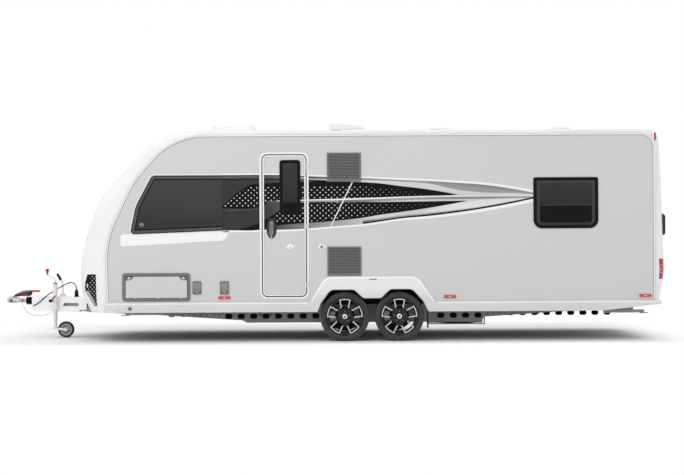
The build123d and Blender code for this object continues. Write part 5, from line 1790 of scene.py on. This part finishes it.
@dataclass
class Drawbar:
    """What is fixed along the drawbar: coupling details, grips, knobs and the clamp lever."""

    jockey_x: float = -3348
    jockey_y: float = -172

    def coupling(self) -> None:
        """The black eye, wear indicator and bolts of the coupling head."""
        maker = Maker()
        maker.turned(SEAL, ((0, -4), (15, -4), (20, -2), (22, 2), (0, 2)), (-3922, -49, 452), Axis.Y, 28)
        maker.turned(BRIGHT, ((14, -5.5), (17, -5.5), (18, -3), (14, -3)), (-3922, -49, 452), Axis.Y, 24, True)
        maker.block(BLACK, (-3958, -44, 428.5), (-3850, 44, 434), 3)
        for x in (-3800, -3765):
            maker.rod(ZINC, (x, -33, 450), (x, 33, 450), 9, sides=6)
        maker.block(RED_SHEATH, (-3792, -38, 440), (-3776, -24, 470), 3)
        maker.done("coupling_detail")

    def handle(self) -> None:
        """The soft handle with its orange button and red release lever."""
        maker = Maker()
        shape = (
            (-3906, 500, 5), (-3862, 497, 8), (-3800, 509, 10), (-3770, 506, 6), (-3700, 507, 12), (-3674, 522, 10),
            (-3668, 552, 8), (-3676, 578, 10), (-3740, 577, 30), (-3800, 566, 60), (-3866, 534, 30),
        )
        maker.plate(BLACK, shape, -23, 23, 7)
        maker.plate(MID_GREY, ((-3880, 521, 3), (-3806, 557, 10), (-3740, 568, 10), (-3690, 570, 4), (-3690, 562, 4), (-3740, 558, 10), (-3800, 545, 10)), -23.8, -22)
        maker.plate(RED, ((-3772, 518, 5), (-3728, 516, 5), (-3724, 532, 6), (-3768, 535, 6)), -26, 26, 3)
        lever = ((-3686, 556, 6), (-3575, 556, 10), (-3568, 568, 9), (-3578, 580, 9), (-3686, 579, 6))
        maker.plate(RED, lever, -17, 17, 6)
        maker.done("coupling_handle_grip", stands_for=["coupling_handle"])

    def bellows(self) -> None:
        """The rubber gaiter with rounded folds and a clamped collar."""
        start, end, folds = -3741.0, -3650.3, 4
        pitch = (end - start - 10) / folds
        profile = [(26, 0), (31, 0), (34, 3)]
        for fold in range(folds):
            foot = 3 + fold * pitch
            profile += [(38, foot + 1), (48, foot + pitch * 0.3), (52, foot + pitch * 0.5), (48, foot + pitch * 0.72), (38, foot + pitch * 0.97)]
        profile += [(50, end - start - 7), (52, end - start - 5), (52, end - start), (26, end - start)]
        Maker().turned(SEAL, profile, (start, 0, 450), Axis.X, 40, True).done("shaft_bellows", stands_for=["shaft_gaiter"])

    def grips(self) -> None:
        """The crank knob, handbrake grip and button, and the clamp lever."""
        x, y = self.jockey_x, self.jockey_y
        knob = Maker()
        profile = ((0, 70), (10, 69), (18, 63), (22, 53), (21, 43), (15, 30), (11, 14), (12, 4), (11, 0), (0, 0))
        knob.turned(RED, profile, (x - 98, y, 778.5), Axis.Z, 28)
        knob.turned(ZINC, ((7, -6), (11, -6), (11, 0), (7, 0)), (x - 98, y, 778.5), Axis.Z, 20, True)
        knob.turned(ZINC, ((20, 0), (27, 0), (27, 14), (22, 20), (8, 26), (8, 0)), (x, y, 655), Axis.Z, 28, True)
        knob.done("jockey_crank_knob")
        grip = Maker()
        start, end = Vector((-3313, 0, 708)), Vector((-3350, 0, 772))
        steps = 6
        for step in range(steps):
            low, high = start.lerp(end, step / steps), start.lerp(end, (step + 0.82) / steps)
            grip.rod(DARK_RED if step > 1 else SEAL, low, high, 16.5, 17, 20)
        grip.rod(SEAL, start.lerp(end, -0.06), start.lerp(end, 1.0), 14, 14, 16)
        grip.ball(SEAL, end, 16, (1, 1, 0.8))
        grip.done("handbrake_grip")
        clamp = Maker()
        clamp.rod(RED, (x - 6, y - 34, 506), (x - 44, y - 38, 462), 8, 7, 14)
        clamp.rod(ZINC, (x, y - 20, 508), (x, y - 44, 508), 9, sides=6)
        clamp.block(SEAL, (x - 74, y - 52, 436), (x - 30, y - 22, 470), 7)
        clamp.ball(RED, (x - 4, y - 36, 507), 11)
        clamp.done("jockey_clamp_lever")

    def cover(self) -> None:
        """The slot surrounds of the cover."""
        maker = Maker()
        rim = ((-3274, 378, 6), (-3246, 434, 12), (-3046, 434, 14), (-3046, 378, 14))

        def surround(bm: bmesh.types.BMesh) -> None:
            """A band round the hand slot, turned to the cover's slant."""
            band(bm, rim, 0, 9, 0)
            thicken(bm, 5)
            for vert in bm.verts:
                vert.co.y += -(102 + (vert.co.x + 3400) / 640 * 231) - 3.4

        maker.part(COVER, surround)
        maker.mirrored().done("cover_slot_trim")

    def roller(self) -> None:
        """The jockey wheel's tyre and ribbed hub."""
        centre = (self.jockey_x + 131, self.jockey_y, 100)
        maker = Maker()
        tyre = (
            (72, -22), (78, -26), (88, -28.5), (95, -24), (99, -14), (100, 0), (99, 14), (95, 24), (88, 28.5),
            (78, 26), (72, 22),
        )
        maker.turned(RUBBER, tyre, centre, Axis.Y, 48, True)
        hub = ((8.6, -24), (22, -24), (26, -14), (30, -6), (62, -8), (66, -20), (72.4, -22), (72.4, 22), (66, 20), (62, 8), (30, 6), (26, 14), (22, 24), (8.6, 24))
        maker.turned(HUB, hub, centre, Axis.Y, 40, True)
        # darker grey disc in the hub's recess between the ribs: painted shade
        maker.turned(GREY, ((31, -9.5), (61, -10.5), (61, 10.5), (31, 9.5)), centre, Axis.Y, 40, True)
        for rib in range(8):
            angle = math.tau * rib / 8
            ends = [
                (centre[0] + r * math.cos(angle), centre[1], centre[2] + r * math.sin(angle)) for r in (24, 68)
            ]
            for side in (-1, 1):
                points = [(a, b + side * 9, c) for a, b, c in ends]
                maker.rod(HUB, points[0], points[1], 5, 4, 8)
        maker.done("jockey_roller", "jockey_wheel", stands_for=["jockey_wheel"])

    def build(self) -> None:
        """Make every fitting of the drawbar."""
        self.coupling()
        self.handle()
        self.bellows()
        self.grips()
        self.cover()
        self.roller()


@dataclass
class FrontEnd:
    """Window seals of the nose, painted shade lines along its creases, and the inside of the wrap-around front lamps.
    """

    windows: tuple = ((-370, 370), (-880, -420), (420, 880))
    lamp: tuple = (
        (-2690, 800, 12), (-2802, 800, 18), (-2838, 690, 40), (-2832, 600, 40), (-2722, 424, 15), (-2684, 424, 12)
    )

    def build(self) -> None:
        """Make the trims that follow the nose."""
        nose = Skin(("front_panel", "windows"), Axis.X, -1)
        maker = Maker()
        for y0, y1 in self.windows:
            pane = oblong(y0, y1, 1190, 1790, 70)
            maker.draped(SEAL, nose, pane, 10, 2, 6, inset=-8)
            maker.draped(EDGE_GLASS, nose, pane, 34, 1, 3, inset=2)
            maker.draped(BAND_GLASS, nose, pane, 4, 1.6, 3, inset=44)
        # grey lines of painted shade along the nose's creases
        maker.draped(CREASE_SHADE, nose, oblong(-980, 980, 1108, 1113), 0, 0.8, 2)
        maker.draped(CREASE_SHADE, nose, oblong(-980, 980, 1868, 1873), 0, 0.8, 2)
        maker.done("front_window_trim")
        for side in (-1, 1):
            self.lamps(side)

    def lamps(self, side: int) -> None:
        """One lamp: white surround, black cell with its bulb, and a silver strip."""
        cheek = Skin(("front_panel", "front_lamps"), Axis.Y, side)
        maker = Maker()
        maker.draped(RAIL, cheek, self.lamp, 22, 2.5, 6, inset=-22, pitch=24)
        cell = (
            (-2744, 796, 6), (-2798, 796, 14), (-2832, 692, 30), (-2828, 612, 12), (-2792, 612, 8), (-2780, 690, 30)
        )
        maker.draped(FILM_BLACK, cheek, cell, 0, 2.6, 6, pitch=14)
        strip = ((-2828, 604, 6), (-2722, 432, 8), (-2694, 432, 8), (-2786, 604, 8))
        maker.draped(SILVER, cheek, strip, 0, 3, 6, pitch=14)
        maker.draped(CLEAR, cheek, oblong(-2808, -2792, 640, 690, 7), 0, 4, 6, pitch=10)
        maker.done(f"front_lamp_cell_{'left' if side < 0 else 'right'}")


@dataclass
class RearEnd:
    """Window trim, lamp lenses, bare number plate and grab handle backs of the tail."""

    def build(self) -> None:
        """Make the trims that follow the tail."""
        tail = Skin(("rear_panel", "windows", "rear_lamps"), Axis.X, 1)
        maker = Maker()
        pane = oblong(-540, 540, 1330, 1850, 80)
        maker.draped(SEAL, tail, pane, 10, 2, 6, inset=-8)
        maker.draped(EDGE_GLASS, tail, pane, 38, 1, 3, inset=2)
        maker.draped(BAND_GLASS, tail, pane, 4, 1.6, 3, inset=48)
        # grey lines of painted shade along the tail's creases
        for z in (1180, 640):
            maker.draped(CREASE_SHADE, tail, oblong(-950, 950, z, z + 5), 0, 0.8, 2)
        maker.draped(SEAL, tail, oblong(-268, 268, 502, 622, 8), 0, 3, 5)
        maker.draped(PLATE, tail, oblong(-260, 260, 508, 616, 8), 0, 5, 4)
        maker.draped(RED_LENS, tail, oblong(-190, 190, 2200, 2218, 8), 0, 3, 5)
        for side in (-1, 1):
            for z0, z1, lens in ((716, 774, RED_LENS), (786, 868, CLEAR), (879, 944, RED_LENS)):
                inner, outer = sorted((side * 1008, side * 1150))
                maker.draped(lens, tail, oblong(inner, outer, z0, z1, 10), 0, 1.5, 4)
                maker.draped(BRIGHT, tail, oblong(inner, outer, z0, z1, 10), 3, 2.2, 4)
            maker.draped(AMBER, tail, oblong(*sorted((side * 1020, side * 1060)), 800, 854, 12), 0, 3, 4)
        maker.done("rear_end_trim")
        self.corners()

    def corners(self) -> None:
        """What wraps onto the sides: lens strips and the handles' backs."""
        maker = Maker()
        for side in (-1, 1):
            cheek = Skin(("rear_panel", "rear_lamps"), Axis.Y, side)
            for z0, z1, lens in ((716, 774, RED_LENS), (786, 868, CLEAR), (879, 944, RED_LENS)):
                maker.draped(lens, cheek, oblong(3890, 3940, z0, z1, 6), 0, 1.2, 4)
            y0, y1 = sorted((side * 1114, side * 1126))
            maker.block(BLACK, (3930, y0, 1238), (3964, y1, 1454), 4)
        maker.done("rear_corner_trim")


@dataclass
class RoofTrim:
    """Seals of the roof lights with painted shade lines for their rims and ribs, sheet joints, and the aerial's
    fittings.
    """

    lights: tuple = ((-1126, 586, 720, 92, 40), (1396, 296, 400, 56, 25), (2896, 277, 400, 56, 25))
    top: float = 2500

    def build(self) -> None:
        """Make the roof's trims."""
        roof = Skin(("roof", "front_panel", "rear_panel"), Axis.Z, 1)
        maker = Maker()
        for x, long, wide, tall, lean in self.lights:
            base = oblong(x - long / 2, x + long / 2, -wide / 2, wide / 2, 60)
            maker.draped(WHITE, roof, base, 16, 5, 8, inset=-18)
            maker.draped(SEAL, roof, base, 4, 7, 8, inset=-4)
            half_x, half_y = long / 2 - lean - 34, wide / 2 - lean - 34
            rim = oblong(x - half_x, x + half_x, -half_y, half_y, 34)
            lid = Skin(("roof_lights",), Axis.Z, 1)
            # grey lines of painted shade round the lid's rim and along its rib
            maker.draped(CREASE_SHADE, lid, rim, 6, 1.5, 3)
            maker.draped(CREASE_SHADE, lid, oblong(x - half_x + 30, x + half_x - 30, -3, 3), 0, 1.5, 3)
        for x in (-1488, 3730):
            maker.draped(SEAL, roof, oblong(x - 4, x + 4, -1120, 1120), 0, 0.8, 2)
        # grey lines of painted shade along the roof's side edges
        for y in (-1080, 1080):
            maker.draped(CREASE_SHADE, roof, oblong(-1480, 3720, y - 3, y + 3), 0, 0.8, 2)
        maker.done("roof_trim")
        self.aerial()

    def aerial(self) -> None:
        """The aerial's foot, ribs and screws."""
        maker = Maker()
        maker.block(WHITE, (20, -108, self.top - 2), (215, 108, self.top + 8), 3)
        for x in (34, 200):
            for y in (-98, 98):
                maker.rod(BRIGHT, (x, y, self.top + 6), (x, y, self.top + 11), 6, 5, 6)
        # thin grey lines of painted shade mark the ribs
        for rib in range(5):
            x = 76 + rib * 26
            maker.block(CREASE_SHADE, (x, -86, 2617), (x + 6, 86, 2619), 0.6)
        maker.block(GREY, (60, -96.5, 2540), (180, 96.5, 2546), 1)
        maker.done("aerial_fittings")


@dataclass
class Underside:
    """Dark plates of painted shade in the lightening holes, and brake rods, axle fixings and the carrier's wheel."""

    rail_y: float = 550

    def build(self) -> None:
        """Make what shows below the floor."""
        maker = Maker()
        for side in (-1, 1):
            web = Skin(("chassis_frame",), Axis.Y, side)
            # dark plates of painted shade where the lightening holes are
            for x in [*range(-1980, -140, 150), *range(1330, 3560, 150)]:
                maker.draped(HOLE_SHADE, web, oblong(x, x + 88, 236, 300, 30), 0, 0.8, 1.6)
        maker.rod(AXLE, (-3440, 0, 392), (-2150, 0, 300), 6, 6, 12)
        maker.rod(AXLE, (-2150, 0, 300), (180, 0, 246), 6, 6, 12)
        maker.rod(AXLE, (180, 0, 246), (840, 0, 246), 6, 6, 12)
        for x in (215, 853.5):
            maker.block(AXLE, (x - 26, -150, 232), (x + 26, 150, 258), 3)
            for side in (-1, 1):
                maker.rod(ZINC, (x - 60, side * 480, 300), (x - 60, side * 480, 322), 11, 11, 6)
                maker.rod(CABLE, (x, side * 150, 246), (x + 20, side * 900, 262), 5, 5, 10)
        maker.done("underside_fittings")
        spare = Maker()
        tread = (
            (190, -88), (228, -86), (262, -94), (281, -84), (286.5, -70), (287, -20), (281, -19), (281, -12),
            (287, -11), (287, 11), (281, 12), (281, 19), (287, 20), (286.5, 70), (281, 84), (262, 94), (228, 86), (190, 88),
        )
        rubber = Tyre("spare_rubber", "tyre", (34, 34, 35), 0.65, relief=0.15, axle=(1600, 250), mirror=0.15)
        spare.turned(rubber, tread, (1600, 0, 249.5), Axis.Z, 56, True)
        spare.turned(ZINC, ((40, -20), (120, -30), (180, -60), (208, -70), (208, 70), (190, 70), (176, -40), (118, -14), (40, -6)), (1600, 0, 249.5), Axis.Z, 48, True)
        spare.done("spare_wheel_tyre", stands_for=["spare_wheel"])


def main() -> None:
    """Build the studio, then the caravan from the cords outwards."""
    logging.basicConfig(level=logging.INFO, format="%(name)s %(message)s")
    Studio().build()
    plug = Plug()
    TOW_CABLE.build([plug.build()])
    BREAKAWAY.build([plug.clip()])
    dress_nodes()
    for side in ("left", "right"):
        for place, x in (("front", 215), ("rear", 853.5)):
            RoadWheel(side, place, x).build()
    SideGraphics().build()
    SideWindows().build()
    Entrance().build()
    Locker().build()
    ServiceCovers().build()
    SideDetails().build()
    Drawbar().build()
    FrontEnd().build()
    RearEnd().build()
    RoofTrim().build()
    Underside().build()


if __name__ == "__main__":
    main()
